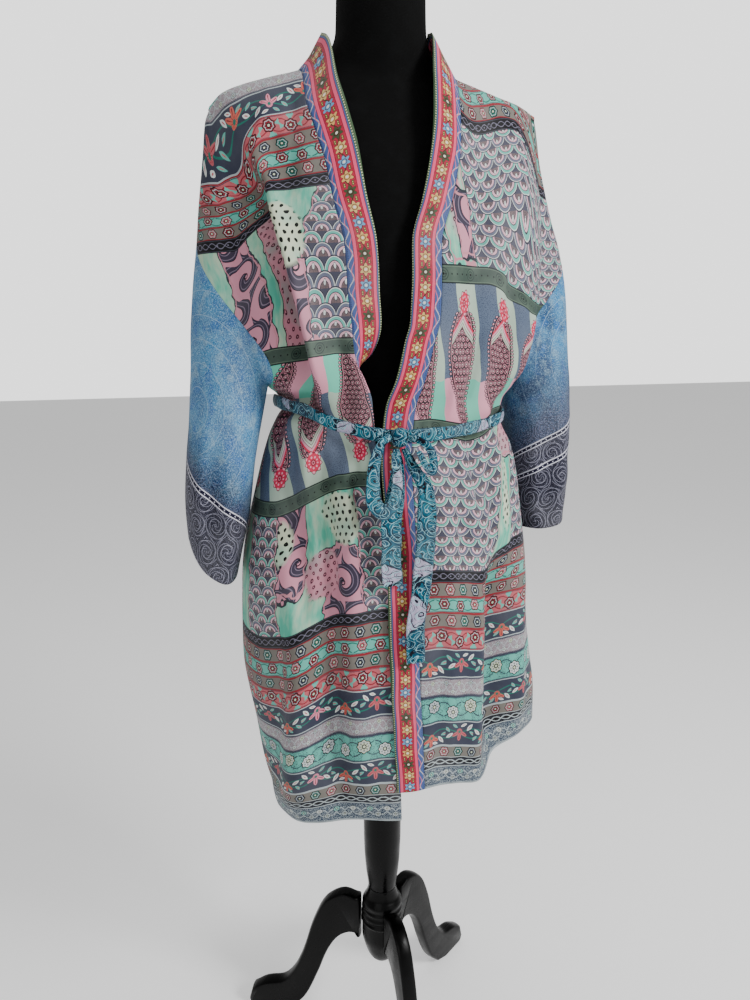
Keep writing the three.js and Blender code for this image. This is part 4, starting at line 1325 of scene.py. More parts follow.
@dataclass(frozen=True)
class Leg:
    """One leg of the stand: a curved board with well rounded edges; its angle is in degrees."""

    angle: float
    outline_steps: int = 34
    layers: int = 15
    rounding: float = 5.0

    def outline(self) -> Array:
        """Smooth side outline, from the root over the knee to the toe and back under."""
        parts = []
        for points in (LEG_TOP, LEG_TOE, LEG_UNDER):
            pairs = np.array(points, float)
            chord = distances(pairs)
            curve = Table("at x z", np.column_stack([chord, pairs]).tolist())
            fine = np.linspace(0, chord[-1], self.outline_steps)
            parts.append(np.stack([curve("x", fine), curve("z", fine)], -1))
        return np.concatenate(parts)

    def piece(self, name: str) -> bpy.types.Object:
        """Layers of the outline across the thickness, drawn in towards both faces.

        Args:
            name: the piece's name.

        Returns:
            The new object.
        """
        outline = self.outline()
        tangent = np.roll(outline, -1, axis=0) - np.roll(outline, 1, axis=0)
        tangent /= np.maximum(np.linalg.norm(tangent, axis=-1, keepdims=True), 1e-6)
        inward = np.stack([tangent[:, 1], -tangent[:, 0]], -1)
        bow = np.linspace(-np.pi / 2, np.pi / 2, self.layers)
        side = np.sin(bow) * LEG_THICKNESS / 2
        draw = self.rounding * (1 - np.cos(bow) ** 0.6)
        layers = outline[None] + inward[None] * draw[:, None, None]
        layers[..., 1] = np.maximum(layers[..., 1], 0)
        turn = math.radians(self.angle)
        x = layers[..., 0] * math.cos(turn) - side[:, None] * math.sin(turn)
        y = layers[..., 0] * math.sin(turn) + side[:, None] * math.cos(turn)
        rings = np.stack([x, y, layers[..., 1]], -1)
        count = rings.shape[1]
        mesh = bpy.data.meshes.new(name)
        quads = grid_quads(len(rings) - 1, count, count)
        caps = [list(range(count)), list(range((len(rings) - 1) * count, len(rings) * count))]
        mesh.from_pydata((rings.reshape(-1, 3) * METRES + SHIFT).tolist(), [], quads.tolist() + caps)
        mesh.polygons.foreach_set("use_smooth", np.ones(len(mesh.polygons), bool))
        made = linked(name, mesh)
        outward(made)
        return made


@dataclass(frozen=True)
class Field:
    """A number that changes over the surface: one output socket of a node tree."""

    tree: bpy.types.NodeTree
    socket: bpy.types.NodeSocket

    def _node(self, operation: str, *others: Union["Field", float]) -> "Field":
        """Adds a Math node.

        Args:
            operation: what the node does.
            others: its numbers after this field.

        Returns:
            The node's result.
        """
        node = self.tree.nodes.new("ShaderNodeMath")
        node.operation = operation
        for slot, value in enumerate((self,) + others):
            if isinstance(value, Field):
                self.tree.links.new(value.socket, node.inputs[slot])
            else:
                node.inputs[slot].default_value = float(value)
        return Field(self.tree, node.outputs[0])

    def __add__(self, other: Union["Field", float]) -> "Field":
        """Sum."""
        return self._node("ADD", other)

    __radd__ = __add__

    def __sub__(self, other: Union["Field", float]) -> "Field":
        """Difference."""
        return self._node("SUBTRACT", other)

    def __rsub__(self, other: float) -> "Field":
        """A number less this field."""
        return self._node("MULTIPLY_ADD", -1.0, other)

    def __mul__(self, other: Union["Field", float]) -> "Field":
        """Product."""
        return self._node("MULTIPLY", other)

    __rmul__ = __mul__

    def __truediv__(self, other: Union["Field", float]) -> "Field":
        """Quotient."""
        return self._node("DIVIDE", other)

    def floor(self) -> "Field":
        """Whole part."""
        return self._node("FLOOR")

    def fract(self) -> "Field":
        """What is left after the whole part."""
        return self._node("FRACT")

    def modulo(self, size: float) -> "Field":
        """Remainder, never below zero."""
        return self._node("FLOORED_MODULO", size)

    def abs(self) -> "Field":
        """Distance from zero."""
        return self._node("ABSOLUTE")

    def sqrt(self) -> "Field":
        """Square root."""
        return self._node("SQRT")

    def sin(self) -> "Field":
        """Sine, in radians."""
        return self._node("SINE")

    def cos(self) -> "Field":
        """Cosine, in radians."""
        return self._node("COSINE")

    def power(self, exponent: float) -> "Field":
        """This field to a power."""
        return self._node("POWER", exponent)

    def above(self, other: Union["Field", float]) -> "Field":
        """1 where this field is greater."""
        return self._node("GREATER_THAN", other)

    def below(self, other: Union["Field", float]) -> "Field":
        """1 where this field is less."""
        return self._node("LESS_THAN", other)

    def most(self, other: Union["Field", float]) -> "Field":
        """The larger of two."""
        return self._node("MAXIMUM", other)

    def angle(self, across: "Field") -> "Field":
        """Angle of the point (across, this field) round the middle."""
        return self._node("ARCTAN2", across)

    def between(self, low: float, high: float) -> "Field":
        """1 between two numbers."""
        return self.above(low) * self.below(high)

    def near(self, place: Union["Field", float], width: float) -> "Field":
        """1 within a width of a place."""
        return (self - place).abs().below(width)

    def centred(self, period: float) -> "Field":
        """Distance from the middle of the period that this field is in."""
        return ((self / period).fract() - 0.5) * period

    def soft(self, low: float, high: float) -> "Field":
        """Rises from 0 at low to 1 at high."""
        node = self.tree.nodes.new("ShaderNodeMapRange")
        node.inputs["From Min"].default_value = low
        node.inputs["From Max"].default_value = high
        self.tree.links.new(self.socket, node.inputs["Value"])
        return Field(self.tree, node.outputs["Result"])


def length_of(x: Field, y: Field) -> Field:
    """Distance from the middle: root of the sum of squares."""
    return (x * x + y * y).sqrt()


def staggered(u: Field, v: Field, wide: float, tall: float) -> tuple[Field, Field]:
    """Place inside the cell of a brick-like lattice.

    Args:
        u: along the cloth.
        v: up the cloth.
        wide: a cell's width; every other row is shifted by half of it.
        tall: a cell's height.

    Returns:
        Distance from the cell's middle, along and up.
    """
    shift = (v / tall).floor().modulo(2.0) * 0.5
    return ((u / wide + shift).fract() - 0.5) * wide, v.centred(tall)


Color = tuple[float, float, float]
INK_CONTRAST = 1.68
INK_DEPTH = 0.8


def ink(red: int, green: int, blue: int) -> Color:
    """A screen colour of 0 to 255 as the linear colour that shaders use.

    Args:
        red: red.
        green: green.
        blue: blue.

    Returns:
        Three linear numbers from 0 to 1.
    """
    values = np.array([red, green, blue]) / 255.0
    linear = np.where(values <= 0.04045, values / 12.92, ((values + 0.055) / 1.055) ** 2.4)
    return tuple(float(v) for v in INK_DEPTH * linear ** INK_CONTRAST)


@dataclass
class Painter:
    """Lays colours over each other in one node tree; the canvas starts empty."""

    tree: bpy.types.NodeTree
    canvas: Optional[bpy.types.NodeSocket] = None

    def ground(self, color: Union[Color, bpy.types.NodeSocket]) -> None:
        """Starts the canvas with a colour or a colour socket."""
        if isinstance(color, tuple):
            node = self.tree.nodes.new("ShaderNodeRGB")
            node.outputs[0].default_value = color + (1.0,)
            color = node.outputs[0]
        self.canvas = color

    def over(self, color: Union[Color, bpy.types.NodeSocket], mask: Union[Field, float]) -> None:
        """Paints a colour over the canvas.

        Args:
            color: a colour or a colour socket.
            mask: where it shows, 1 in full and 0 not at all.
        """
        node = self.tree.nodes.new("ShaderNodeMix")
        node.data_type = "RGBA"
        node.clamp_factor = True
        if isinstance(mask, Field):
            self.tree.links.new(mask.socket, node.inputs[0])
        else:
            node.inputs[0].default_value = mask
        self.tree.links.new(self.canvas, node.inputs[6])
        if isinstance(color, tuple):
            node.inputs[7].default_value = color + (1.0,)
        else:
            self.tree.links.new(color, node.inputs[7])
        self.canvas = node.outputs[2]

    def ladder(self, where: Field, span: float, rungs: Sequence[tuple[float, Color]],
               soft: bool = False) -> bpy.types.NodeSocket:
        """A colour for each stretch of a number, from a ramp.

        Args:
            where: the number.
            span: the number at the ramp's end.
            rungs: where each colour starts, and the colour.
            soft: colours run into each other instead of stepping.

        Returns:
            The colour socket.
        """
        node = self.tree.nodes.new("ShaderNodeValToRGB")
        ramp = node.color_ramp
        ramp.interpolation = "LINEAR" if soft else "CONSTANT"
        while len(ramp.elements) > 1:
            ramp.elements.remove(ramp.elements[-1])
        for i, (start, color) in enumerate(rungs):
            at = min(1.0, max(0.0, start / span))
            element = ramp.elements[0] if i == 0 else ramp.elements.new(at)
            element.position = at
            element.color = tuple(color) + (1.0,)
        self.tree.links.new((where / span).socket, node.inputs["Fac"])
        return node.outputs["Color"]

    def numbers(self, where: Field, span: float, rungs: Sequence[tuple[float, Color]]) -> list[Field]:
        """Three numbers from 0 to 1 for each stretch, carried by one ramp's red, green and blue."""
        node = self.tree.nodes.new("ShaderNodeSeparateColor")
        self.tree.links.new(self.ladder(where, span, rungs), node.inputs[0])
        return [Field(self.tree, node.outputs[i]) for i in range(3)]

    def noise(self, u: Field, v: Field, scale: float, detail: float = 2.0, seed: float = 0.0) -> Field:
        """Cloudy noise over the cloth.

        Args:
            u: along the cloth.
            v: up the cloth.
            scale: lumps for each millimetre.
            detail: finer layers.
            seed: which cut through the noise is read.

        Returns:
            Numbers from 0 to 1.
        """
        join = self.tree.nodes.new("ShaderNodeCombineXYZ")
        self.tree.links.new(u.socket, join.inputs[0])
        self.tree.links.new(v.socket, join.inputs[1])
        join.inputs[2].default_value = seed
        node = self.tree.nodes.new("ShaderNodeTexNoise")
        node.inputs["Scale"].default_value = scale
        node.inputs["Detail"].default_value = detail
        self.tree.links.new(join.outputs[0], node.inputs["Vector"])
        return Field(self.tree, node.outputs["Fac"])


def new_material(name: str) -> tuple[bpy.types.Material, bpy.types.NodeTree, bpy.types.Node]:
    """Makes a material and gives it with its tree and its Principled shader."""
    made = bpy.data.materials.new(name)
    made.use_nodes = True
    return made, made.node_tree, made.node_tree.nodes["Principled BSDF"]


def places(tree: bpy.types.NodeTree, vector: bpy.types.NodeSocket, count: int) -> list[Field]:
    """The first parts of a vector in metres, as fields in millimetres."""
    split = tree.nodes.new("ShaderNodeSeparateXYZ")
    tree.links.new(vector, split.inputs[0])
    return [Field(tree, split.outputs[i]) * 1000.0 for i in range(count)]


def set_inputs(node: bpy.types.Node, **values: float) -> None:
    """Sets inputs of a node; in a name an underscore stands for a space."""
    for name, value in values.items():
        node.inputs[name.replace("_", " ")].default_value = value


def add_bump(shader: bpy.types.Node, height: Field, distance: float, strength: float) -> None:
    """Bumps a shader's normal.

    Args:
        shader: the shader.
        height: the bump's height, 0 to about 1.
        distance: metres that a height of 1 stands for.
        strength: how far the normal follows it.
    """
    bump = height.tree.nodes.new("ShaderNodeBump")
    set_inputs(bump, Distance=distance, Strength=strength)
    height.tree.links.new(height.socket, bump.inputs["Height"])
    height.tree.links.new(bump.outputs[0], shader.inputs["Normal"])


class Inks:
    """The print's colours."""

    taupe = ink(162, 158, 152)
    pale = ink(205, 212, 214)
    black = ink(52, 50, 60)
    slate = ink(106, 110, 126)
    coral = ink(226, 150, 136)
    mint = ink(148, 210, 200)
    deep_mint = ink(74, 158, 146)
    rose = ink(216, 146, 152)
    crimson = ink(180, 84, 98)
    pink = ink(238, 180, 196)
    mauve = ink(186, 172, 178)
    cream = ink(226, 232, 214)
    strap = ink(112, 128, 120)
    fuchsia = ink(226, 92, 128)
    white = ink(236, 240, 238)


class MotifGroup:
    """A shader node group that turns the cloth's u and v, in millimetres, into a colour."""

    name = "motif"

    def tree(self) -> bpy.types.NodeTree:
        """Builds the group once and gives it again after that."""
        found = bpy.data.node_groups.get(self.name)
        if found is not None:
            return found
        tree = bpy.data.node_groups.new(self.name, "ShaderNodeTree")
        tree.interface.new_socket(name="U", in_out="INPUT", socket_type="NodeSocketFloat")
        tree.interface.new_socket(name="V", in_out="INPUT", socket_type="NodeSocketFloat")
        tree.interface.new_socket(name="Color", in_out="OUTPUT", socket_type="NodeSocketColor")
        entry = tree.nodes.new("NodeGroupInput")
        leave = tree.nodes.new("NodeGroupOutput")
        painter = Painter(tree)
        self.paint(painter, Field(tree, entry.outputs[0]), Field(tree, entry.outputs[1]))
        tree.links.new(painter.canvas, leave.inputs[0])
        return tree

    def paint(self, painter: Painter, u: Field, v: Field) -> None:
        """Draws the motif on the painter's canvas."""
        raise NotImplementedError

    def place(self, tree: bpy.types.NodeTree, u: Field, v: Field) -> bpy.types.NodeSocket:
        """Puts the group into a tree and gives its colour.

        Args:
            tree: a material's tree.
            u: along the cloth in millimetres.
            v: up the cloth in millimetres.

        Returns:
            The colour socket.
        """
        node = tree.nodes.new("ShaderNodeGroup")
        node.node_tree = self.tree()
        tree.links.new(u.socket, node.inputs[0])
        tree.links.new(v.socket, node.inputs[1])
        return node.outputs[0]


@dataclass(frozen=True)
class Row:
    """A border row: where it starts, its ground and edge, flowers, stems and leaves.

    period is the distance between flowers, radius their size, sway how far they step up and down in
    turn; inks picks a set of four flower colours; stem is the stems' sway and leaves their size.
    """

    start: float
    ground: Color
    edge: Color
    period: float = 15.0
    radius: float = 0.0
    petals: int = 6
    sway: float = 0.0
    inks: int = 0
    stem: float = 0.0
    stem_ink: Color = (0.0, 0.0, 0.0)
    leaves: float = 0.0
    fine: float = 0.0


ROWS_TOP = 306.25
ROWS_END = 320.0
SIZE_SCALE = 20.0
PERIOD_SCALE = 100.0
COUNT_SCALE = 10.0
INK_SCALE = 8.0
ROWS = (
    Row(0, ink(92, 110, 130), Inks.pale, 11.5, 4.4, 2, 4.6, 3, 5.0, Inks.pale, 0.3, 1.0),
    Row(30, Inks.black, Inks.black, 15, 0.0, 6, 0.0, 3, 3.2, Inks.pale),
    Row(42, Inks.taupe, Inks.pale, 21, 7.3, 6, 0.0, 0),
    Row(61.25, Inks.slate, Inks.pale, 42.5, 14.0, 5, 3.0, 1, 7.0, Inks.deep_mint, 1.0),
    Row(98.75, Inks.mint, Inks.slate, 27.5, 9.5, 8, 4.0, 2, 10.0, Inks.slate, 0.55, 1.0),
    Row(136.25, Inks.mauve, Inks.slate, 9.5, 3.4, 5, 5.5, 2, 6.0, Inks.pale, 0.3, 1.0),
    Row(162.5, Inks.slate, Inks.pale, 45, 14.5, 5, 3.0, 1, 8.0, Inks.deep_mint, 1.0),
    Row(201.25, Inks.rose, Inks.crimson, 25, 8.4, 7, 3.0, 4, 8.5, Inks.crimson, 0.55, 0.3),
    Row(230, Inks.taupe, Inks.crimson, 21, 7.3, 6, 0.0, 0),
    Row(250, Inks.mint, Inks.crimson, 24, 7.4, 6, 1.5, 5, 6.5, Inks.deep_mint, 0.55),
    Row(271.25, Inks.taupe, Inks.crimson, 21, 7.3, 6, 0.0, 0),
    Row(290, Inks.black, Inks.black, 15, 0.0, 6, 0.0, 3, 3.2, Inks.pale),
)
FLOWER_INKS = (
    (Inks.crimson, Inks.rose, Inks.deep_mint, Inks.slate),
    (Inks.coral, Inks.pink, Inks.coral, Inks.rose),
    (Inks.white, Inks.pale, Inks.white, Inks.cream),
    (Inks.pale, Inks.mint, Inks.pale, Inks.white),
    (Inks.crimson, Inks.crimson, Inks.crimson, Inks.crimson),
    (Inks.crimson, Inks.crimson, Inks.crimson, Inks.rose),
)


class RowsMotif(MotifGroup):
    """The border's rows of rosettes, vines, chains and dark flowers."""

    name = "print rows"
    sprig = (
        (15.5, 6.0, 0.9, 6.5, 2.5), (20.5, -3.0, -0.5, 6.0, 2.3), (-15.0, -5.5, 0.7, 6.0, 2.4),
        (-19.0, 4.0, -0.8, 5.5, 2.2), (6.5, 9.5, 0.4, 5.0, 2.0), (-7.5, 9.0, -0.6, 5.0, 2.0),
    )

    @staticmethod
    def leaf(x: Field, y: Field, shape: tuple[float, float, float, float, float]) -> Field:
        """One pointed leaf: how far a point lies inside, from 1 in its middle to below 0 outside.

        Args:
            x: along the row from the flower.
            y: across the row from the flower.
            shape: the leaf's middle, its turn, half its length and half its width.

        Returns:
            How far inside.
        """
        at_x, at_y, turn, length, width = shape
        along = (x - at_x) * math.cos(turn) + (y - at_y) * math.sin(turn)
        across = (y - at_y) * math.cos(turn) - (x - at_x) * math.sin(turn)
        return (along / length).power(2.0) * -1.0 - across.abs() / width + 1.0

    def paint(self, painter: Painter, u: Field, v: Field) -> None:
        """Each row's numbers come from ramps, so one flower, stem and leaf formula serves them all.

        Args:
            painter: the canvas.
            u: along the rows.
            v: up across the rows.
        """
        ends = [row.start for row in ROWS[1:]] + [ROWS_TOP]
        spans = [(row, (row.start + end) / 2, (end - row.start) / 2) for row, end in zip(ROWS, ends)]
        wander = painter.noise(u, v, 0.05, 1.0)
        v = v + (wander - 0.5) * 3.0
        middle, half, period = painter.numbers(v, ROWS_END, [
            (r.start, (m / ROWS_END, h / SIZE_SCALE, r.period / PERIOD_SCALE)) for r, m, h in spans])
        radius, petals, sway = painter.numbers(v, ROWS_END, [
            (r.start, (r.radius / SIZE_SCALE, r.petals / COUNT_SCALE, r.sway / SIZE_SCALE)) for r in ROWS])
        stem, leaves, fine = painter.numbers(v, ROWS_END, [
            (r.start, (r.stem / SIZE_SCALE, r.leaves, r.fine)) for r in ROWS])
        painter.ground(painter.ladder(v, ROWS_END, [(r.start, r.ground) for r in ROWS]))
        edge_ink = painter.ladder(v, ROWS_END, [(r.start, r.edge) for r in ROWS])
        stem_ink = painter.ladder(v, ROWS_END, [(r.start, r.stem_ink) for r in ROWS])
        inks = painter.numbers(v, ROWS_END, [(r.start, (r.inks / INK_SCALE, 0, 0)) for r in ROWS])[0]
        radius, sway, stem = radius * SIZE_SCALE, sway * SIZE_SCALE, stem * SIZE_SCALE
        petals = petals * COUNT_SCALE
        local = v - middle * ROWS_END
        grain = painter.noise(u, v, 0.55, 2.0, 3.0)
        painter.over(stem_ink, grain.near(0.5, 0.03) * fine)
        across = u / (period * PERIOD_SCALE)
        turn = across * (2 * math.pi)
        first = (local - stem * (turn * 0.5).sin()).abs()
        second = (local + stem * (turn * 0.5).sin()).abs()
        painter.over(stem_ink, first.below(0.9) * stem.above(0.1))
        painter.over(stem_ink, second.below(0.8) * stem.above(0.1))
        cell = (across + 0.5).floor()
        x = (across + 0.5 - cell - 0.5) * period * PERIOD_SCALE
        side = cell.modulo(2.0) * 2.0 - 1.0
        y = local - side * sway
        far = length_of(x * 1.12, y)
        around = y.angle(x)
        reach = far / radius.most(0.5)
        blade = ((around * 4.0 + side * 0.6).cos() - 0.25 - (reach - 1.75).abs() * 0.95).above(0.0)
        flower_on = radius.above(0.3)
        open_flower = leaves.above(0.9)
        painter.over(Inks.mint, blade * reach.between(1.05, 2.5) * leaves.between(0.4, 0.9) * flower_on)
        for index, shape in enumerate(self.sprig):
            inside = self.leaf(x, y * side, shape)
            painter.over(Inks.white if index % 2 == 0 else Inks.mint, inside.above(0.0) * open_flower)
            painter.over(Inks.rose, inside.above(0.72) * open_flower)
        fall = x.angle(y * -1.0)
        lily = 0.34 + fall.abs().below(1.57) * ((fall * 6.0).cos() * 0.3 + 0.36)
        petal = (0.9 + (around * petals).cos() * 0.08) * (1.0 - open_flower) + lily * open_flower
        pick = painter.ladder(
            inks * (4.0 * INK_SCALE) + cell.modulo(4.0), 4.0 * len(FLOWER_INKS),
            [(s * 4 + i - 0.5 if s + i else 0, color)
             for s, four in enumerate(FLOWER_INKS) for i, color in enumerate(four)],
        )
        painter.over(Inks.black, reach.below(petal + 0.16) * flower_on * leaves.below(0.6))
        painter.over(pick, reach.below(petal) * flower_on)
        closed = flower_on * leaves.below(0.9)
        painter.over(Inks.black, (around * 8.0).cos().above(0.35) * reach.between(0.42, 0.8) * closed * 0.8)
        painter.over(Inks.pale, reach.near(petal * 0.78, 0.07) * closed)
        painter.over(Inks.black, reach.below(0.36) * closed)
        lobes = (fall * 6.0).cos()
        vein = (lobes.above(0.93) + lobes.below(-0.86)) * reach.below(petal * 0.86) * reach.above(0.14)
        painter.over(Inks.crimson, vein * open_flower * flower_on)
        painter.over(Inks.cream, reach.below(0.2) * closed)
        painter.over(Inks.deep_mint, reach.below(0.15) * open_flower * flower_on)
        rim = half * SIZE_SCALE - local.abs()
        painter.over(edge_ink, rim.below(1.5))
        painter.over(Inks.slate, rim.near(2.1, 0.35) * stem.above(0.1))


class ScalesMotif(MotifGroup):
    """Rows of overlapping fans: a pale drop, a taupe middle, a pink ring and a mint ring."""

    name = "print fans"
    width = 25.0
    pitch = 12.0
    radius = 13.5

    def ring(self, u: Field, v: Field, row: Field) -> tuple[Field, Field, Field]:
        """Distance from the nearest fan's root in a row, with the place inside that fan."""
        shift = row.modulo(2.0) * 0.5
        x = ((u / self.width + shift).fract() - 0.5) * self.width
        y = v - row * self.pitch
        return length_of(x, y), x, y

    def paint(self, painter: Painter, u: Field, v: Field) -> None:
        """The row below covers this one where its fans reach; rings follow the distance.

        Args:
            painter: the canvas.
            u: along the rows.
            v: up across the rows.
        """
        wander = painter.noise(u, v, 0.06, 1.0, 5.0)
        u = u + (wander - 0.5) * 3.0
        row = (v / self.pitch).floor()
        under, ux, uy = self.ring(u, v, row - 1.0)
        here, hx, hy = self.ring(u, v, row)
        front = under.below(self.radius)
        far = here + (under - here) * front
        x = hx + (ux - hx) * front
        y = hy + (uy - hy) * front
        reach = far / self.radius
        line = ink(96, 94, 108)
        rings = [(0.0, ink(158, 144, 146)), (0.4, line), (0.44, ink(240, 208, 218)), (0.62, line)]
        rim = [(0.86, Inks.white), (0.91, line), (0.97, ink(124, 124, 138))]
        painter.ground(painter.ladder(reach, 1.25, rings + [(0.66, ink(152, 156, 172))] + rim))
        parity = (row - front).modulo(2.0)
        painter.over(painter.ladder(reach, 1.25, rings + [(0.67, Inks.mint)] + rim), parity)
        drop = length_of(x * 1.7, y - 4.7)
        painter.over(line, drop.below(2.9))
        painter.over(Inks.white, drop.below(2.3))
        hatch = painter.noise(u, v, 1.1, 1.0, 2.0)
        painter.over(line, hatch.above(0.58) * reach.below(0.4) * 0.6)
        painter.over(Inks.slate, painter.noise(u, v, 0.04, 1.0, 15.0).soft(0.55, 0.8) * 0.35)


class DotsMotif(MotifGroup):
    """Dark uneven dots with pale middles on cream."""

    name = "print dots"
    ground_ink = Inks.cream
    dot_ink = ink(40, 46, 42)
    hollow = 0.0

    def paint(self, painter: Painter, u: Field, v: Field) -> None:
        """A staggered lattice whose cells wander with noise.

        Args:
            painter: the canvas.
            u: along the cloth.
            v: up the cloth.
        """
        wander = painter.noise(u, v, 0.09, 1.0, 9.0)
        u = u + (wander - 0.5) * 9.0
        x, y = staggered(u, v, 9.5, 8.5)
        far = length_of(x * 1.25, y)
        wash = painter.noise(u, v, 0.03, 2.0, 4.0)
        painter.ground(self.ground_ink)
        painter.over(Inks.mint, wash.soft(0.45, 0.75) * 0.6)
        size = 1.5 + wander * 1.9
        painter.over(self.dot_ink, far.below(size))
        painter.over(self.ground_ink, far.below(size * self.hollow))


class PinkDotsMotif(DotsMotif):
    """Dull red dots on pink."""

    name = "print pink dots"
    ground_ink = ink(230, 184, 196)
    dot_ink = ink(132, 84, 104)
    hollow = 0.36


class ScrollMotif(MotifGroup):
    """Curling slate scrolls outlined in pink on pink."""

    name = "print scrolls"
    cell = 46.0

    def paint(self, painter: Painter, u: Field, v: Field) -> None:
        """In each staggered cell a spiral: the sine of the angle plus the distance from its eye.

        Args:
            painter: the canvas.
            u: along the cloth.
            v: up the cloth.
        """
        wander = painter.noise(u, v, 0.03, 1.0, 7.0)
        u = u + (wander - 0.5) * 16.0
        x, y = staggered(u, v, self.cell, self.cell)
        far = length_of(x, y)
        curl = (y.angle(x) + far * 0.27).sin()
        painter.ground(ink(228, 182, 196))
        painter.over(ink(112, 104, 122), curl.above(0.12))
        painter.over(ink(66, 62, 80), curl.near(0.12, 0.1))
        painter.over(ink(172, 160, 176), curl.near(0.72, 0.09))
        painter.over(ink(66, 62, 80), far.near(3.0, 0.8))


class WashMotif(MotifGroup):
    """Mint watercolour with pale streaks."""

    name = "print wash"

    def paint(self, painter: Painter, u: Field, v: Field) -> None:
        """Two noises, one stretched upright, mixed between mint, cream and deep mint."""
        broad = painter.noise(u, v * 0.4, 0.03, 3.0, 1.0)
        streak = painter.noise(u * 1.0, v * 0.25, 0.16, 3.0, 6.0)
        painter.ground(painter.ladder(broad * 0.6 + streak * 0.4, 1.0, [
            (0.0, ink(92, 186, 172)), (0.42, ink(138, 214, 196)), (0.52, ink(186, 224, 206)),
            (0.62, ink(214, 228, 210)), (1.0, ink(150, 208, 190)),
        ], soft=True))


class StrapMotif(MotifGroup):
    """A grey-green strap with dark edges and rows of tiny dots. v is 0 at its middle."""

    name = "print strap"

    def paint(self, painter: Painter, u: Field, v: Field) -> None:
        """Dots every 8 mm along the middle, and a faint dotted ring every 42 mm.

        Args:
            painter: the canvas.
            u: along the strap.
            v: across the strap, 0 at its middle.
        """
        painter.ground(Inks.strap)
        cloud = painter.noise(u, v, 0.05, 2.0, 2.0)
        painter.over(ink(142, 158, 146), cloud.soft(0.4, 0.7) * 0.6)
        x = u.centred(8.0)
        painter.over(Inks.black, length_of(x, v).below(0.9))
        ring_x = u.centred(42.0)
        ring = length_of(ring_x, v)
        painter.over(ink(78, 96, 92), ring.below(7.5) * (ring * 2.4).sin().above(0.2) * 0.7)
        painter.over(Inks.black, length_of(ring_x, v).below(1.2))
        painter.over(ink(70, 82, 84), (v.abs() - 8.2).above(0.0))
        painter.over(ink(150, 166, 152), v.abs().near(7.4, 0.3))


class PaisleyMotif(MotifGroup):
    """Long paisleys on broad slanting stripes. v is 0 at the tip and 150 at the end of the flower."""

    name = "print paisleys"
    period = 62.0
    body = 126.0

    def stripes(self, painter: Painter, u: Field, v: Field) -> None:
        """Pale and speckled grey-blue stripes by the flowers, mint and pink ones by the tips.

        Args:
            painter: the canvas.
            u: along the cloth.
            v: from the tips to the flowers.
        """
        wander = (painter.noise(u, v, 0.02, 1.0, 8.0) - 0.5) * 10.0
        stripe = (u + 15.5 + v * 0.2 + wander) / (self.period / 2)
        odd = stripe.floor().modulo(2.0)
        speck = painter.noise(u, v, 0.8, 1.0, 5.0)
        painter.ground(ink(204, 218, 206))
        painter.over(ink(140, 152, 170), odd)
        painter.over(ink(92, 104, 124), odd * speck.above(0.56) * 0.6)
        low = v + (painter.noise(u, v, 0.03, 1.0, 9.0) - 0.5) * 26.0
        painter.over(ink(150, 222, 204), low.below(52.0))
        painter.over(ink(238, 190, 204), low.below(52.0) * odd)

    def paint(self, painter: Painter, u: Field, v: Field) -> None:
        """A drop whose middle line hooks near its tip, filled with ringlets; a carnation tops it.

        Args:
            painter: the canvas.
            u: along the cloth.
            v: from the tips to the flowers.
        """
        self.stripes(painter, u, v)
        cell = (u / self.period).floor()
        x = (u / self.period - cell - 0.5) * self.period
        x = x + (painter.noise(u, v, 0.03, 1.0, 13.0) - 0.5) * 8.0
        s = (v / self.body).most(0.0)
        left = (1.0 - s).most(0.0)
        middle = left.power(3.2) * 23.0 - left * 3.0
        wide = s.power(0.85) * left.power(0.42) * 36.0 + 1.6
        inside = wide - (x - middle).abs()
        on = v.between(1.0, self.body - 1.0)
        bead = length_of(v.centred(4.6), inside + 3.2)
        painter.over(ink(70, 58, 68), bead.below(2.1) * on)
        painter.over(ink(232, 190, 200), bead.below(1.2) * on)
        painter.over(ink(60, 48, 58), inside.above(-1.4) * on)
        painter.over(ink(216, 170, 180), inside.near(0.4, 0.5) * on)
        painter.over(ink(112, 98, 102), inside.above(1.2) * on)
        full = inside.above(1.4) * on
        jitter = painter.noise(u, v, 0.12, 1.0, 14.0) * 4.0
        ring_x, ring_y = staggered(u + jitter, v, 6.4, 7.0)
        ringlet = length_of(ring_x, ring_y * (6.0 / 7.0))
        painter.over(ink(226, 176, 188), ringlet.near(2.2, 0.38) * full)
        painter.over(ink(236, 216, 216), ringlet.below(0.8) * full)
        painter.over(ink(52, 42, 50), ringlet.near(3.3, 0.35) * full)
        eye = length_of(x - middle, v - self.body * 0.72)
        painter.over(ink(150, 100, 118), (eye * 0.9).sin().above(0.93) * full)
        side = x.abs()
        hat = v - (self.body - 3.0) + side * 0.95 + (side * 0.05).power(2.0) * 6.0
        brim = side.below(17.0)
        for low, high, color in (
            (-14.5, -11.0, ink(214, 216, 206)), (-10.2, -7.2, ink(226, 228, 218)),
            (-6.4, -2.6, ink(236, 188, 202)),
        ):
            painter.over(Inks.black, hat.between(low - 0.8, high + 0.6) * brim)
            painter.over(color, hat.between(low, high) * brim)
        painter.over(Inks.fuchsia, hat.between(-2.6, 0.6) * brim)
        fy = v - (self.body + 7.0)
        far = length_of(x, fy * 0.8)
        fringe = (x.angle(fy) * 9.0).sin()
        frill = 9.6 + fringe * 1.1
        painter.over(ink(130, 30, 66), far.below(frill + 0.8))
        painter.over(Inks.fuchsia, far.below(frill))
        painter.over(ink(246, 196, 208), far.below(frill) * (fringe + (far * 1.5).sin()).above(0.9))
        painter.over(ink(150, 36, 72), far.below(3.0) * (far * 3.0).sin().above(0.0))


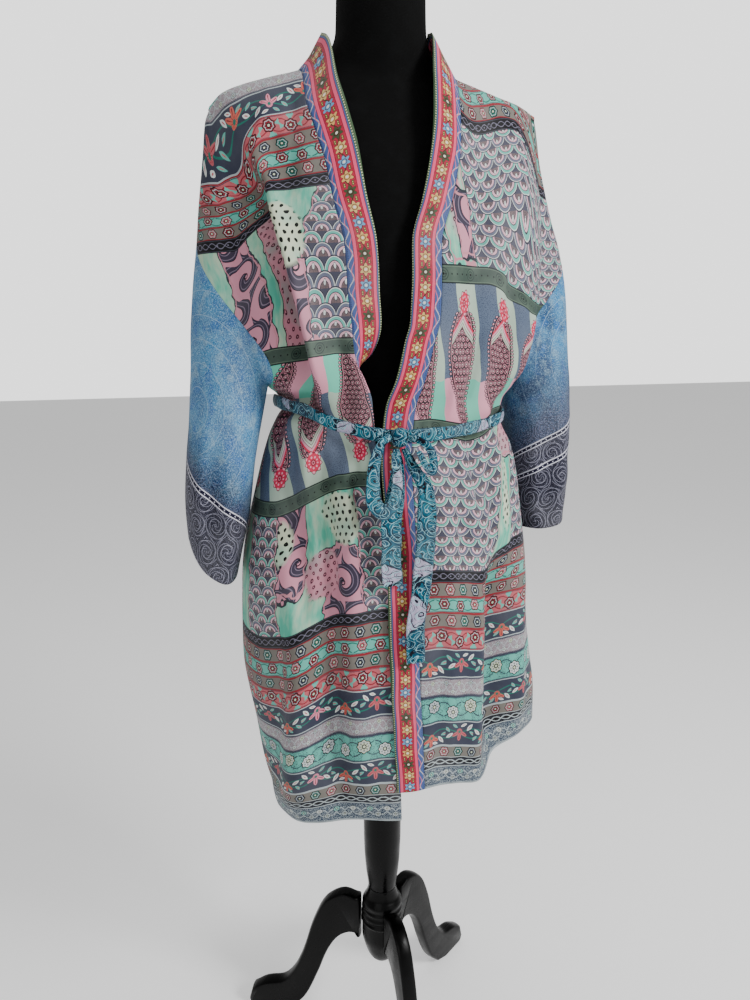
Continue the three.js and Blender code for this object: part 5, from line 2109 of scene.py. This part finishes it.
class ChainMotif(MotifGroup):
    """A black strip with two pale threads that cross. v is 0 at its middle."""

    name = "print chain"

    def paint(self, painter: Painter, u: Field, v: Field) -> None:
        """Two opposite sines along the strip, a dot in each eye, pale lines at the edges."""
        turn = u * (2 * math.pi / 22.0)
        painter.ground(Inks.black)
        thread = ink(160, 158, 172)
        painter.over(thread, (v - turn.sin() * 3.4).abs().below(0.6))
        painter.over(thread, (v + turn.sin() * 3.4).abs().below(0.5))
        painter.over(thread, length_of(((u / 13.0 + 0.25).fract() - 0.5) * 13.0, v).below(1.0))
        painter.over(ink(120, 122, 134), v.abs().near(6.8, 0.4))


class Shape(Enum):
    """Outline of a patch."""

    OVAL = 2.0
    BOX = 9.0


@dataclass(frozen=True)
class Patch:
    """One piece of the collage: its motif, middle, half sizes, outline and the way it leans."""

    motif: type
    u: float
    v: float
    half_u: float
    half_v: float
    shape: Shape = Shape.BOX
    lean: float = 0.0

    def depth(self, u: Field, v: Field) -> Field:
        """How far inside the outline: 1 in the middle, 0 on it, below 0 outside."""
        y = (v - self.v) / self.half_v
        x = (u - self.u - (v - self.v) * self.lean) / self.half_u
        if self.shape is Shape.OVAL:
            return 1.0 - length_of(x, y)
        return 1.0 - x.abs().most(y.abs())


@dataclass(frozen=True)
class Collage:
    """The patches of one stretch of a front or the back, over a ground motif."""

    name: str
    ground: type
    flip: bool
    patches: tuple[Patch, ...]


COLLAGES = {
    "right_low": Collage("print collage right low", WashMotif, False, (
        Patch(ScalesMotif, -48, 380, 24, 90), Patch(ScrollMotif, 4, 345, 30, 48, Shape.BOX, 0.1),
        Patch(DotsMotif, 0, 425, 27, 34, Shape.OVAL, 0.3),
        Patch(ScrollMotif, 78, 412, 22, 60, Shape.BOX, -0.1),
        Patch(PinkDotsMotif, 34, 362, 27, 30, Shape.OVAL), Patch(DotsMotif, 92, 420, 17, 26, Shape.OVAL),
        Patch(ScalesMotif, 128, 380, 30, 90),
    )),
    "right_high": Collage("print collage right high", WashMotif, False, (
        Patch(ScalesMotif, -5, 735, 42, 95, Shape.BOX, -0.28),
        Patch(ScrollMotif, 60, 686, 29, 34, Shape.BOX, 0.1),
        Patch(DotsMotif, 62, 748, 28, 36, Shape.OVAL, 0.2),
        Patch(PinkDotsMotif, 112, 730, 13, 95, Shape.BOX, 0.1),
        Patch(ScrollMotif, 160, 725, 22, 95, Shape.BOX, 0.1),
    )),
    "left_low": Collage("print collage left low", ScalesMotif, True, (
        Patch(WashMotif, 62, 388, 22, 92, Shape.BOX, 0.2),
        Patch(DotsMotif, 60, 392, 15, 60, Shape.OVAL, 0.2),
        Patch(PinkDotsMotif, 84, 452, 14, 34, Shape.BOX, 0.2),
    )),
    "left_high": Collage("print collage left high", ScalesMotif, True, (
        Patch(WashMotif, -50, 735, 20, 90, Shape.BOX, -0.25),
        Patch(PinkDotsMotif, -48, 730, 13, 62, Shape.OVAL, -0.25),
        Patch(ScrollMotif, -30, 690, 12, 34, Shape.BOX, -0.25),
    )),
    "back_low": Collage("print collage back low", ScalesMotif, False, (
        Patch(WashMotif, 0, 380, 62, 90), Patch(DotsMotif, -22, 398, 27, 38, Shape.OVAL, 0.3),
        Patch(ScrollMotif, 40, 372, 22, 60), Patch(PinkDotsMotif, -120, 380, 26, 36, Shape.OVAL),
        Patch(WashMotif, 138, 380, 16, 90), Patch(DotsMotif, 118, 392, 14, 34, Shape.OVAL),
    )),
    "back_high": Collage("print collage back high", ScalesMotif, False, (
        Patch(WashMotif, -70, 725, 46, 90, Shape.BOX, 0.1),
        Patch(DotsMotif, -76, 742, 25, 36, Shape.OVAL),
        Patch(ScrollMotif, 60, 722, 30, 60), Patch(PinkDotsMotif, 104, 720, 13, 90),
        Patch(WashMotif, 150, 720, 18, 90),
    )),
}


@dataclass(frozen=True)
class Weave:
    """The shader side of a thin woven cloth: crossing threads as a light bump, rough and a bit matte."""

    name: str
    thread: float = 0.75
    thread_depth: float = 0.03
    crush_depth: float = 0.0022
    roughness: float = 0.6
    gloss: float = 0.16
    sheen: float = 0.02

    def start(self) -> tuple[bpy.types.Material, Field, Field]:
        """Makes the material and reads its cloth coordinates.

        Returns:
            The material, and u and v in millimetres.
        """
        made, tree, _ = new_material(self.name)
        layer = tree.nodes.new("ShaderNodeUVMap")
        layer.uv_map = "cloth"
        u, v = places(tree, layer.outputs[0], 2)
        return made, u, v

    def finish(self, made: bpy.types.Material, painter: Painter, u: Field, v: Field) -> bpy.types.Material:
        """Fades the print here and there, then adds threads, small creases and the shader's values.

        Args:
            made: the material.
            painter: the painter that holds the print.
            u: along the cloth in millimetres.
            v: up the cloth in millimetres.

        Returns:
            The same material.
        """
        shader = made.node_tree.nodes["Principled BSDF"]
        fade = painter.noise(u, v, 0.012, 3.0, 11.0)
        painter.over(ink(214, 214, 214), fade.soft(0.45, 0.8) * 0.12)
        threads = (u * (math.pi / self.thread)).sin() * (v * (math.pi / self.thread)).sin()
        crush = painter.noise(u, v * 0.6, 0.035, 4.0, 12.0)
        add_bump(shader, threads * self.thread_depth + crush, self.crush_depth, 1.0)
        made.node_tree.links.new(painter.canvas, shader.inputs["Base Color"])
        set_inputs(shader, Roughness=self.roughness, Specular_IOR_Level=self.gloss,
                   Sheen_Weight=self.sheen, Sheen_Roughness=0.4)
        return made


PRINT_MIRROR = 1106.0
CHAIN_MIDDLE = 298.0
CHAIN_HALF = 8.1
STRAP_HALF = 9.6
LOW_STRAPS = {"right": 464.5, "left": 478.0, "back": 464.5}
HIGH_STRAP = 640.0
TIP_DOWN = 162.0
TIP_UP = 8.0


@dataclass(frozen=True)
class PrintCloth:
    """The printed cloth of the fronts and the back: a material for each stretch up the garment.

    low and high are the collages below and above the paisleys, whose crowns may hang down.
    """

    name: str
    low: Collage
    high: Collage
    low_strap: float
    crowns_down: bool

    def start(self, part: str) -> tuple[Weave, bpy.types.Material, Painter, Field, Field]:
        """Starts one stretch: its weave, material, painter and unsettled coordinates."""
        weave = Weave(f"{self.name} {part}")
        made, u, v = weave.start()
        painter = Painter(made.node_tree)
        painter.ground(Inks.taupe)
        u = u + (painter.noise(u, v, 0.02, 1.0, 21.0) - 0.5) * 5.0
        v = v + (painter.noise(u, v, 0.008, 1.0, 22.0) - 0.5) * 6.0
        return weave, made, painter, u, v

    def chain(self, painter: Painter, u: Field, v: Field, mirror: bool) -> None:
        """Draws the chain strip, which two neighbouring stretches share."""
        local = (v * -1.0 + (PRINT_MIRROR - CHAIN_MIDDLE)) if mirror else v - CHAIN_MIDDLE
        painter.over(ChainMotif().place(painter.tree, u, local), local.abs().below(CHAIN_HALF))

    def strap(self, painter: Painter, u: Field, v: Field, middle: float) -> None:
        """Draws a strap, which two neighbouring stretches share."""
        local = v - middle
        painter.over(StrapMotif().place(painter.tree, u, local), local.abs().below(STRAP_HALF))

    def rows(self, mirror: bool) -> bpy.types.Material:
        """The border rows.

        Args:
            mirror: upright at the hem if False, turned round at the shoulder if True.

        Returns:
            The stretch's material.
        """
        weave, made, painter, u, v = self.start("rows high" if mirror else "rows low")
        place = v * -1.0 + PRINT_MIRROR if mirror else v
        painter.over(RowsMotif().place(painter.tree, u, place), 1.0)
        self.chain(painter, u, v, mirror)
        stitch = place.near(11.0, 0.3) * (u / 3.0).fract().below(0.65)
        painter.over(Inks.black, stitch)
        painter.over(Inks.pale, place.near(2.2, 0.5) * 0.6)
        return weave.finish(made, painter, u, v)

    def collage(self, layout: Collage, mirror: bool) -> bpy.types.Material:
        """The patches between a chain and a strap, each with a dark and a pale edge line.

        Args:
            layout: the patches.
            mirror: False below the paisleys, True above them.

        Returns:
            The stretch's material.
        """
        weave, made, painter, u, v = self.start("collage high" if mirror else "collage low")
        colors: dict[type, bpy.types.NodeSocket] = {}
        sign = -1.0 if layout.flip else 1.0
        for motif in [layout.ground] + [patch.motif for patch in layout.patches]:
            if motif not in colors:
                colors[motif] = motif().place(painter.tree, u, v * sign)
        painter.over(colors[layout.ground], 1.0)
        wobble = (painter.noise(u, v, 0.06, 1.0, 23.0) - 0.5) * 0.5
        for patch in layout.patches:
            depth = patch.depth(u, v) + wobble
            width = 1.0 / min(patch.half_u, patch.half_v)
            if patch.shape is Shape.OVAL:
                painter.over(colors[patch.motif], depth.soft(-1.5 * width, 3.0 * width))
                continue
            painter.over(ink(86, 96, 104), depth.above(-1.0 * width))
            painter.over(colors[patch.motif], depth.above(0.0))
            painter.over(ink(222, 176, 186), (depth - 1.6 * width).abs().below(0.6 * width))
        self.chain(painter, u, v, mirror)
        self.strap(painter, u, v, HIGH_STRAP if mirror else self.low_strap)
        return weave.finish(made, painter, u, v)

    def paisleys(self) -> bpy.types.Material:
        """The paisleys between the straps."""
        weave, made, painter, u, v = self.start("paisleys")
        tip = v * -1.0 + (HIGH_STRAP - TIP_UP) if self.crowns_down else v - (HIGH_STRAP - TIP_DOWN)
        painter.over(PaisleyMotif().place(painter.tree, u, tip), 1.0)
        for middle in (self.low_strap, HIGH_STRAP):
            self.strap(painter, u, v, middle)
        return weave.finish(made, painter, u, v)

    def materials(self) -> list[bpy.types.Material]:
        """The five stretches from hem to shoulder."""
        return [self.rows(False), self.collage(self.low, False), self.paisleys(),
                self.collage(self.high, True), self.rows(True)]

    def zone(self, v: Array) -> Array:
        """Which stretch a face is in, from its mean v: the cuts lie in a chain or a strap."""
        cuts = np.array([CHAIN_MIDDLE, self.low_strap, HIGH_STRAP, PRINT_MIRROR - CHAIN_MIDDLE])
        return np.searchsorted(cuts * METRES, v)


class LineMotif(MotifGroup):
    """Pale curling line-work: thin bands where a spiral field and a noise field cross zero."""

    name = "line work"
    cell = 34.0

    def paint(self, painter: Painter, u: Field, v: Field) -> None:
        """White where there is a line and black where there is none.

        Args:
            painter: the canvas.
            u: along the cloth.
            v: up the cloth.
        """
        wander = painter.noise(u, v, 0.02, 2.0, 31.0)
        x, y = staggered(u, v, self.cell, self.cell)
        far = length_of(x, y) + wander * 16.0
        curl = (y.angle(x) * 2.0 + far * 0.55).sin()
        small = painter.noise(u, v, 0.2, 1.0, 32.0)
        fine = painter.noise(u, v, 0.34, 2.0, 33.0)
        painter.ground((0.0, 0.0, 0.0))
        painter.over((0.6, 0.6, 0.6), (small * 9.0).fract().between(0.42, 0.58))
        painter.over((0.5, 0.5, 0.5), (fine * 7.0).fract().between(0.4, 0.55))
        painter.over((1.0, 1.0, 1.0), curl.abs().below(0.13))
        painter.over((0.8, 0.8, 0.8), (far * 0.4).sin().abs().below(0.12))


@dataclass(frozen=True)
class SleeveCloth:
    """Sky-blue mottled cloth with fine line-work and a dark lower part behind a white double line."""

    name: str
    seam_level: float
    seam_slope: float
    lower_gap: float
    lower_slope: float
    dusk: float
    dark: Color
    pale: Color
    upper: Color
    bead_line: float = 3.3

    def material(self) -> bpy.types.Material:
        """Builds the sleeve's material."""
        weave = Weave(self.name)
        made, u, v = weave.start()
        painter = Painter(made.node_tree)
        blotch = painter.noise(u, v, 0.022, 3.0, 41.0)
        # self.upper here and self.pale below carry painted shade on the left sleeve, where both are darkened.
        painter.ground(painter.ladder(blotch, 1.0, [
            (0.0, ink(84, 134, 176)), (0.4, self.upper), (0.55, ink(130, 186, 218)),
            (0.66, ink(96, 176, 214)), (1.0, ink(70, 150, 200)),
        ], soft=True))
        bright = painter.noise(u, v, 0.05, 2.0, 43.0)
        painter.over(ink(64, 150, 206), bright.soft(0.56, 0.66) * 0.8)
        painter.over(ink(186, 212, 226), bright.soft(0.44, 0.34) * 0.55)
        speck = painter.noise(u, v, 0.6, 2.0, 42.0)
        painter.over(ink(60, 100, 150), speck.above(0.56) * 0.5)
        painter.over(ink(206, 226, 238), speck.below(0.4) * 0.6)
        lines = Field(painter.tree, LineMotif().place(painter.tree, u, v))
        painter.over(ink(52, 92, 140), (lines.above(0.9) * 0.5))
        painter.over(self.pale, lines.between(0.1, 0.9) * 0.45)
        arc = (length_of(u + 40.0, v - self.seam_level - 60.0) * 0.11).sin()
        painter.over(ink(202, 222, 236), arc.abs().below(0.05) * 0.5)
        bend = v - self.seam_level + u.abs() * self.seam_slope
        lower = v - self.seam_level + self.lower_gap + u.abs() * self.lower_slope
        night = bend.soft(self.dusk, self.dusk * 0.25 - 20.0)
        painter.over(self.dark, night * 0.9)
        painter.over(ink(38, 38, 84), night * speck.above(0.5) * 0.85)
        painter.over(ink(214, 214, 232), lines * night * 0.28)
        painter.over(ink(196, 196, 220), night * speck.below(0.4) * 0.3)
        cuff = bend.below(0.0)
        painter.over(ink(28, 26, 64), cuff * 0.96)
        painter.over(ink(220, 220, 234), lines.above(0.7) * cuff * 0.62)
        painter.over(ink(206, 206, 226), lines.between(0.1, 0.7) * cuff * 0.22)
        painter.over(ink(196, 196, 220), cuff * speck.below(0.4) * 0.14)
        painter.over(ink(34, 32, 72), lower.below(-5.0) * (1.0 - lines) * 0.7)
        for edge in (bend, lower):
            painter.over(ink(236, 236, 244), edge.abs().below(0.9))
            painter.over(ink(236, 236, 244), edge.near(-6.5, 0.8))
            painter.over(ink(52, 50, 92), edge.near(-self.bead_line, 1.9))
            beads = length_of(u.centred(8.0), edge + self.bead_line)
            painter.over(ink(230, 230, 240), beads.below(0.9))
        painter.over(ink(52, 50, 92), v.below(4.0) * 0.7)
        return weave.finish(made, painter, u, v)


SLEEVE_CLOTHS = {
    Side.RIGHT: SleeveCloth(
        "sleeve cloth right", 170.0, 0.6, 105.0, 0.7, 62.0,
        dark=ink(52, 52, 96), pale=ink(186, 214, 232), upper=ink(106, 162, 202),
    ),
    Side.LEFT: SleeveCloth(
        "sleeve cloth left with painted shade", 224.0, 0.47, 42.0, 0.45, 120.0,
        # The left sleeve's upper and pale blues are darker than the right's: partly the print's own darker
        # blue, and partly painted shade for the shade that falls on the left sleeve.
        dark=ink(78, 102, 132), pale=ink(140, 178, 202), upper=ink(66, 120, 160),
    ),
}


@dataclass(frozen=True)
class BandCloth:
    """The band: a blue margin with cream scrolls, two pink stripes and flowers on red between them."""

    name: str
    margin: float = 10.0
    right: float = 30.5

    def material(self) -> bpy.types.Material:
        """Builds the band's material; v runs across it from the panel's side to the free edge."""
        weave = Weave(self.name, thread=0.6)
        made, u, v = weave.start()
        painter = Painter(made.node_tree)
        v = v + (painter.noise(u, v, 0.01, 1.0, 51.0) - 0.5) * 7.0
        painter.ground(ink(120, 140, 184))
        wave = (v - 3.5 - (u * 0.23).sin() * 3.0).abs().below(0.7)
        painter.over(ink(214, 210, 216), wave)
        painter.over(ink(226, 160, 176), (v - 6.2 - (u * 0.23 + 1.4).sin() * 2.0).abs().below(0.5))
        free = v.above(self.right)
        painter.over(ink(116, 138, 112), free * v.above(34.2))
        painter.over(ink(228, 228, 200), free * length_of(u.centred(3.0), v - 35.4).below(0.7))
        red = v.between(self.margin, self.right)
        painter.over(ink(208, 92, 118), red)
        grain = painter.noise(u, v, 0.3, 2.0, 52.0)
        painter.over(ink(190, 74, 104), red * grain.above(0.55) * 0.6)
        middle = (self.margin + self.right) / 2
        stem = (v - middle - (u * (math.pi / 17.5)).sin() * 3.4).abs()
        painter.over(ink(92, 112, 84), stem.below(0.75) * red)
        cell = (u / 17.5).floor()
        x = u.centred(17.5)
        y = v - middle
        far = length_of(x, y)
        around = y.angle(x)
        kind = painter.ladder(cell.modulo(4.0), 4.0, [
            (0.0, ink(150, 196, 222)), (0.9, ink(230, 208, 160)), (1.9, ink(112, 132, 104)),
            (2.9, ink(232, 204, 150)),
        ])
        leaf = length_of(x.abs() - 7.6, (y.abs() - 4.4) * 1.4)
        painter.over(ink(104, 128, 96), leaf.below(1.9))
        painter.over(ink(232, 210, 160), leaf.below(0.8))
        petal = 5.6 + (around * 6.0).cos() * 1.5
        painter.over(ink(164, 60, 88), far.below(petal + 0.7))
        painter.over(kind, far.below(petal))
        painter.over(ink(126, 50, 70), far.near(3.0, 0.4))
        painter.over(ink(240, 234, 226), far.below(1.5))
        for edge in (self.margin, self.right):
            painter.over(ink(242, 136, 166), v.near(edge, 1.7))
            painter.over(ink(168, 52, 84), ((v - edge).abs() - 2.0).abs().below(0.3))
        stitch = v.near(1.3, 0.25) * (u / 2.6).fract().below(0.7)
        painter.over(ink(60, 70, 100), stitch)
        return weave.finish(made, painter, u, v)


@dataclass(frozen=True)
class BeltCloth:
    """Teal cloth with pale spirals, navy lines and lilac patches."""

    name: str
    cell: float = 15.0

    def material(self) -> bpy.types.Material:
        """Builds the belt's material."""
        weave = Weave(self.name, thread=0.6, roughness=0.5)
        made, u, v = weave.start()
        painter = Painter(made.node_tree)
        wander = painter.noise(u, v, 0.05, 2.0, 61.0)
        painter.ground(painter.ladder(wander, 1.0, [
            (0.0, ink(10, 70, 100)), (0.4, ink(18, 108, 134)), (0.6, ink(40, 150, 168)),
            (1.0, ink(90, 190, 196)),
        ], soft=True))
        lilac = painter.noise(u, v, 0.022, 1.0, 62.0)
        painter.over(ink(206, 200, 218), lilac.above(0.62))
        painter.over(ink(30, 62, 92), lilac.near(0.62, 0.012))
        x, y = staggered(u, v, self.cell, self.cell)
        x = x + wander * 3.0
        far = length_of(x, y)
        curl = (y.angle(x) + far * 1.1).sin()
        painter.over(ink(22, 46, 84), curl.near(-0.5, 0.2) * far.below(8.4))
        painter.over(ink(184, 222, 228), curl.near(0.25, 0.2) * far.between(1.2, 7.2))
        wave = (painter.noise(u, v, 0.045, 1.0, 63.0) * 9.0).fract()
        painter.over(ink(184, 218, 226), wave.near(0.5, 0.05))
        painter.over(ink(16, 34, 70), wave.near(0.75, 0.07))
        return weave.finish(made, painter, u, v)


@dataclass(frozen=True)
class Jersey:
    """The form's black knitted cover: ribs, dust and a soft nap."""

    name: str

    def material(self) -> bpy.types.Material:
        """Builds the cover's material from object coordinates."""
        made, tree, shader = new_material(self.name)
        painter = Painter(tree)
        x, y, z = places(tree, tree.nodes.new("ShaderNodeTexCoord").outputs["Object"], 3)
        dust = painter.noise(x, z + y, 0.05, 4.0, 71.0)
        painter.ground(ink(16, 17, 18))
        painter.over(ink(52, 54, 56), dust.soft(0.45, 0.8) * 0.4)
        lint = painter.noise(x + y, z, 0.9, 1.0, 72.0)
        painter.over(ink(120, 122, 124), lint.above(0.8) * 0.5)
        ribs = (z * 4.2).sin() * 0.5 + ((x - y) * 4.2).sin() * 0.5
        add_bump(shader, ribs, 0.0003, 0.5)
        tree.links.new(painter.canvas, shader.inputs["Base Color"])
        set_inputs(shader, Roughness=0.85, Specular_IOR_Level=0.1)
        return made


@dataclass(frozen=True)
class Lacquer:
    """Satin black lacquer over turned wood: faint grain, scuffs and dust."""

    name: str

    def material(self) -> bpy.types.Material:
        """Builds the lacquer from object coordinates."""
        made, tree, shader = new_material(self.name)
        painter = Painter(tree)
        x, y, z = places(tree, tree.nodes.new("ShaderNodeTexCoord").outputs["Object"], 3)
        grain = painter.noise(x + y, z * 0.08, 0.25, 3.0, 81.0)
        scuff = painter.noise(x - y, z, 0.045, 4.0, 82.0)
        painter.ground(ink(12, 12, 13))
        painter.over(ink(36, 38, 42), scuff.soft(0.52, 0.75) * 0.25)
        painter.over(ink(10, 10, 11), grain.above(0.62) * 0.4)
        rough = 0.24 + scuff.soft(0.4, 0.8) * 0.24
        add_bump(shader, grain, 0.0004, 0.3)
        tree.links.new(painter.canvas, shader.inputs["Base Color"])
        tree.links.new(rough.socket, shader.inputs["Roughness"])
        set_inputs(shader, Specular_IOR_Level=0.12)
        return made


@dataclass(frozen=True)
class Ground:
    """The studio floor: pale, uneven by a fifth, and glowing a little like a lit backdrop."""

    name: str = "floor"
    pale: float = 0.92
    roughness: float = 0.8
    scale: float = 3.0
    glow: float = 0.35

    def material(self) -> bpy.types.Material:
        """Builds the material."""
        made, tree, shader = new_material(self.name)
        noise = tree.nodes.new("ShaderNodeTexNoise")
        set_inputs(noise, Scale=self.scale)
        ramp = tree.nodes.new("ShaderNodeValToRGB")
        for element, share in zip(ramp.color_ramp.elements, (0.8, 1.0)):
            element.color = 3 * (share * self.pale,) + (1,)
        tree.links.new(noise.outputs["Fac"], ramp.inputs["Fac"])
        tree.links.new(ramp.outputs["Color"], shader.inputs["Base Color"])
        shader.inputs["Emission Color"].default_value = (1, 1, 1, 1)
        set_inputs(shader, Roughness=self.roughness, Emission_Strength=self.glow)
        return made


class Studio:
    """Camera at the photograph's angle, pale floor and soft lights."""

    focal_pixels = 751.0
    long_side_pixels = 1000.0
    place = (-0.318, -0.980, 1.13)
    pitch = 13.0
    heading = -17.35
    target = (0.0, 0.0, 1.0)
    lamps = (
        ("key", (1.75, -1.85, 2.2), 0.9, 98.0),
        ("fill", (-1.8, -2.2, 1.6), 2.0, 15.0),
        ("top", (0.0, 0.4, 3.2), 2.4, 30.0),
    )
    sky_light = 0.42
    backdrop_light = 2.4
    floor_reach = 12.0

    def build(self) -> None:
        """Makes the camera, the floor, the sky's light and three large lamps."""
        camera = bpy.data.cameras.new("camera")
        camera.sensor_width = 36.0
        camera.lens = camera.sensor_width * self.focal_pixels / self.long_side_pixels
        held = linked("camera", camera)
        held.location = Vector(self.place) + Vector(SHIFT)
        held.rotation_euler = Euler((math.radians(90 - self.pitch), 0, math.radians(self.heading)))
        bpy.context.scene.camera = held
        self.floor()
        for name, place, size, power in self.lamps:
            self.lamp(name, place, size, power)
        self.sky()

    def sky(self) -> None:
        """A white backdrop for the camera, and a weaker white light from all round for the cloth."""
        world = bpy.data.worlds.new("sky")
        world.use_nodes = True
        tree = world.node_tree
        light = tree.nodes["Background"]
        light.inputs["Color"].default_value = (1, 1, 1, 1)
        light.inputs["Strength"].default_value = self.sky_light
        backdrop = tree.nodes.new("ShaderNodeBackground")
        backdrop.inputs["Strength"].default_value = self.backdrop_light
        ray = tree.nodes.new("ShaderNodeLightPath")
        blend = tree.nodes.new("ShaderNodeMixShader")
        tree.links.new(ray.outputs["Is Camera Ray"], blend.inputs[0])
        tree.links.new(light.outputs[0], blend.inputs[1])
        tree.links.new(backdrop.outputs[0], blend.inputs[2])
        tree.links.new(blend.outputs[0], tree.nodes["World Output"].inputs["Surface"])
        bpy.context.scene.world = world

    def lamp(self, name: str, place: tuple[float, float, float], size: float, power: float) -> None:
        """Adds a square lamp that looks at the jacket's middle.

        Args:
            name: the lamp's name.
            place: where it stands, in metres.
            size: its side in metres.
            power: its power in watts.
        """
        light = bpy.data.lights.new(name, "AREA")
        light.size = size
        light.energy = power
        held = linked(name, light)
        held.location = place
        held.rotation_euler = (Vector(self.target) - Vector(place)).to_track_quat("-Z", "Y").to_euler()

    def floor(self) -> None:
        """A wide pale floor that isn't part of the object."""
        mesh = bpy.data.meshes.new("floor")
        reach = self.floor_reach
        corners = [(x * reach, y * reach, 0) for x, y in ((-1, -1), (1, -1), (1, 1), (-1, 1))]
        mesh.from_pydata(corners, [], [(0, 1, 2, 3)])
        floor = linked("floor", mesh)
        floor.data.materials.append(Ground().material())


def main() -> None:
    """Builds the studio, the stand, the form and the jacket."""
    logging.basicConfig(level=logging.INFO, format="%(name)s %(message)s")
    Studio().build()
    prints = {
        name: PrintCloth(
            f"print {name}", COLLAGES[f"{name}_low"], COLLAGES[f"{name}_high"], strap, name == "right")
        for name, strap in LOW_STRAPS.items()
    }
    band_cloth, belt_cloth = BandCloth("band cloth").material(), BeltCloth("belt cloth").material()
    for side in Side:
        name = side.value
        printed = prints[name]
        panel = FrontPanel(side).surface().shell(f"panel_front_{name}", zone=printed.zone)
        dress(panel, printed.materials(), "print_cloth", f"front_{name}")
        SHEETS[f"front_{name}"].state(panel)
        sleeve = Sleeve(side).surface().shell(f"sleeve_cloth_{name}")
        dress(sleeve, [SLEEVE_CLOTHS[side].material()], "sleeve_cloth", f"sleeve_{name}")
        SHEETS[f"sleeve_{name}"].state(sleeve)
        band = Band(side).surface().shell(f"band_cloth_{name}", 1.4)
        dress(band, [band_cloth], "band_cloth", f"band_{name}")
        SHEETS[f"band_{name}"].state(band)
    back = BackPanel().surface().shell("panel_back", zone=prints["back"].zone)
    dress(back, prints["back"].materials(), "print_cloth", "back")
    SHEETS["back"].state(back)
    belt = dress(Belt().tube().cloth("belt_strip"), [belt_cloth], "belt_cloth", "belt_waist")
    knot = dress(Knot().tube().piece("knot_cloth"), [belt_cloth], "belt_cloth", "belt_knot")
    SHEETS["belt_waist"].state(belt, knot)
    for cut in RIBBONS:
        ribbon = dress(Ribbon(cut).tube().cloth(cut.node + "_cloth"), [belt_cloth], "belt_cloth", cut.node)
        SHEETS[cut.node].state(ribbon)
    jersey, lacquer = Jersey("jersey").material(), Lacquer("lacquer").material()
    dress(DressForm().torso().piece("form_jersey"), [jersey], "form_cover", "form_torso")
    dress(spun(NECK_CAP, NECK_CENTRE).piece("neck_cap_cover"), [jersey], "form_cover", "form_neck_cap")
    dress(spun(POST).piece("post_turned"), [lacquer], "stand_wood", "post")
    dress(spun(HUB).piece("hub_turned"), [lacquer], "stand_wood", "hub")
    for i, angle in enumerate(LEG_ANGLES):
        dress(Leg(angle).piece(f"leg_rounded_{i + 1}"), [lacquer], "stand_wood", f"leg_{i + 1}")


if __name__ == "__main__":
    main()
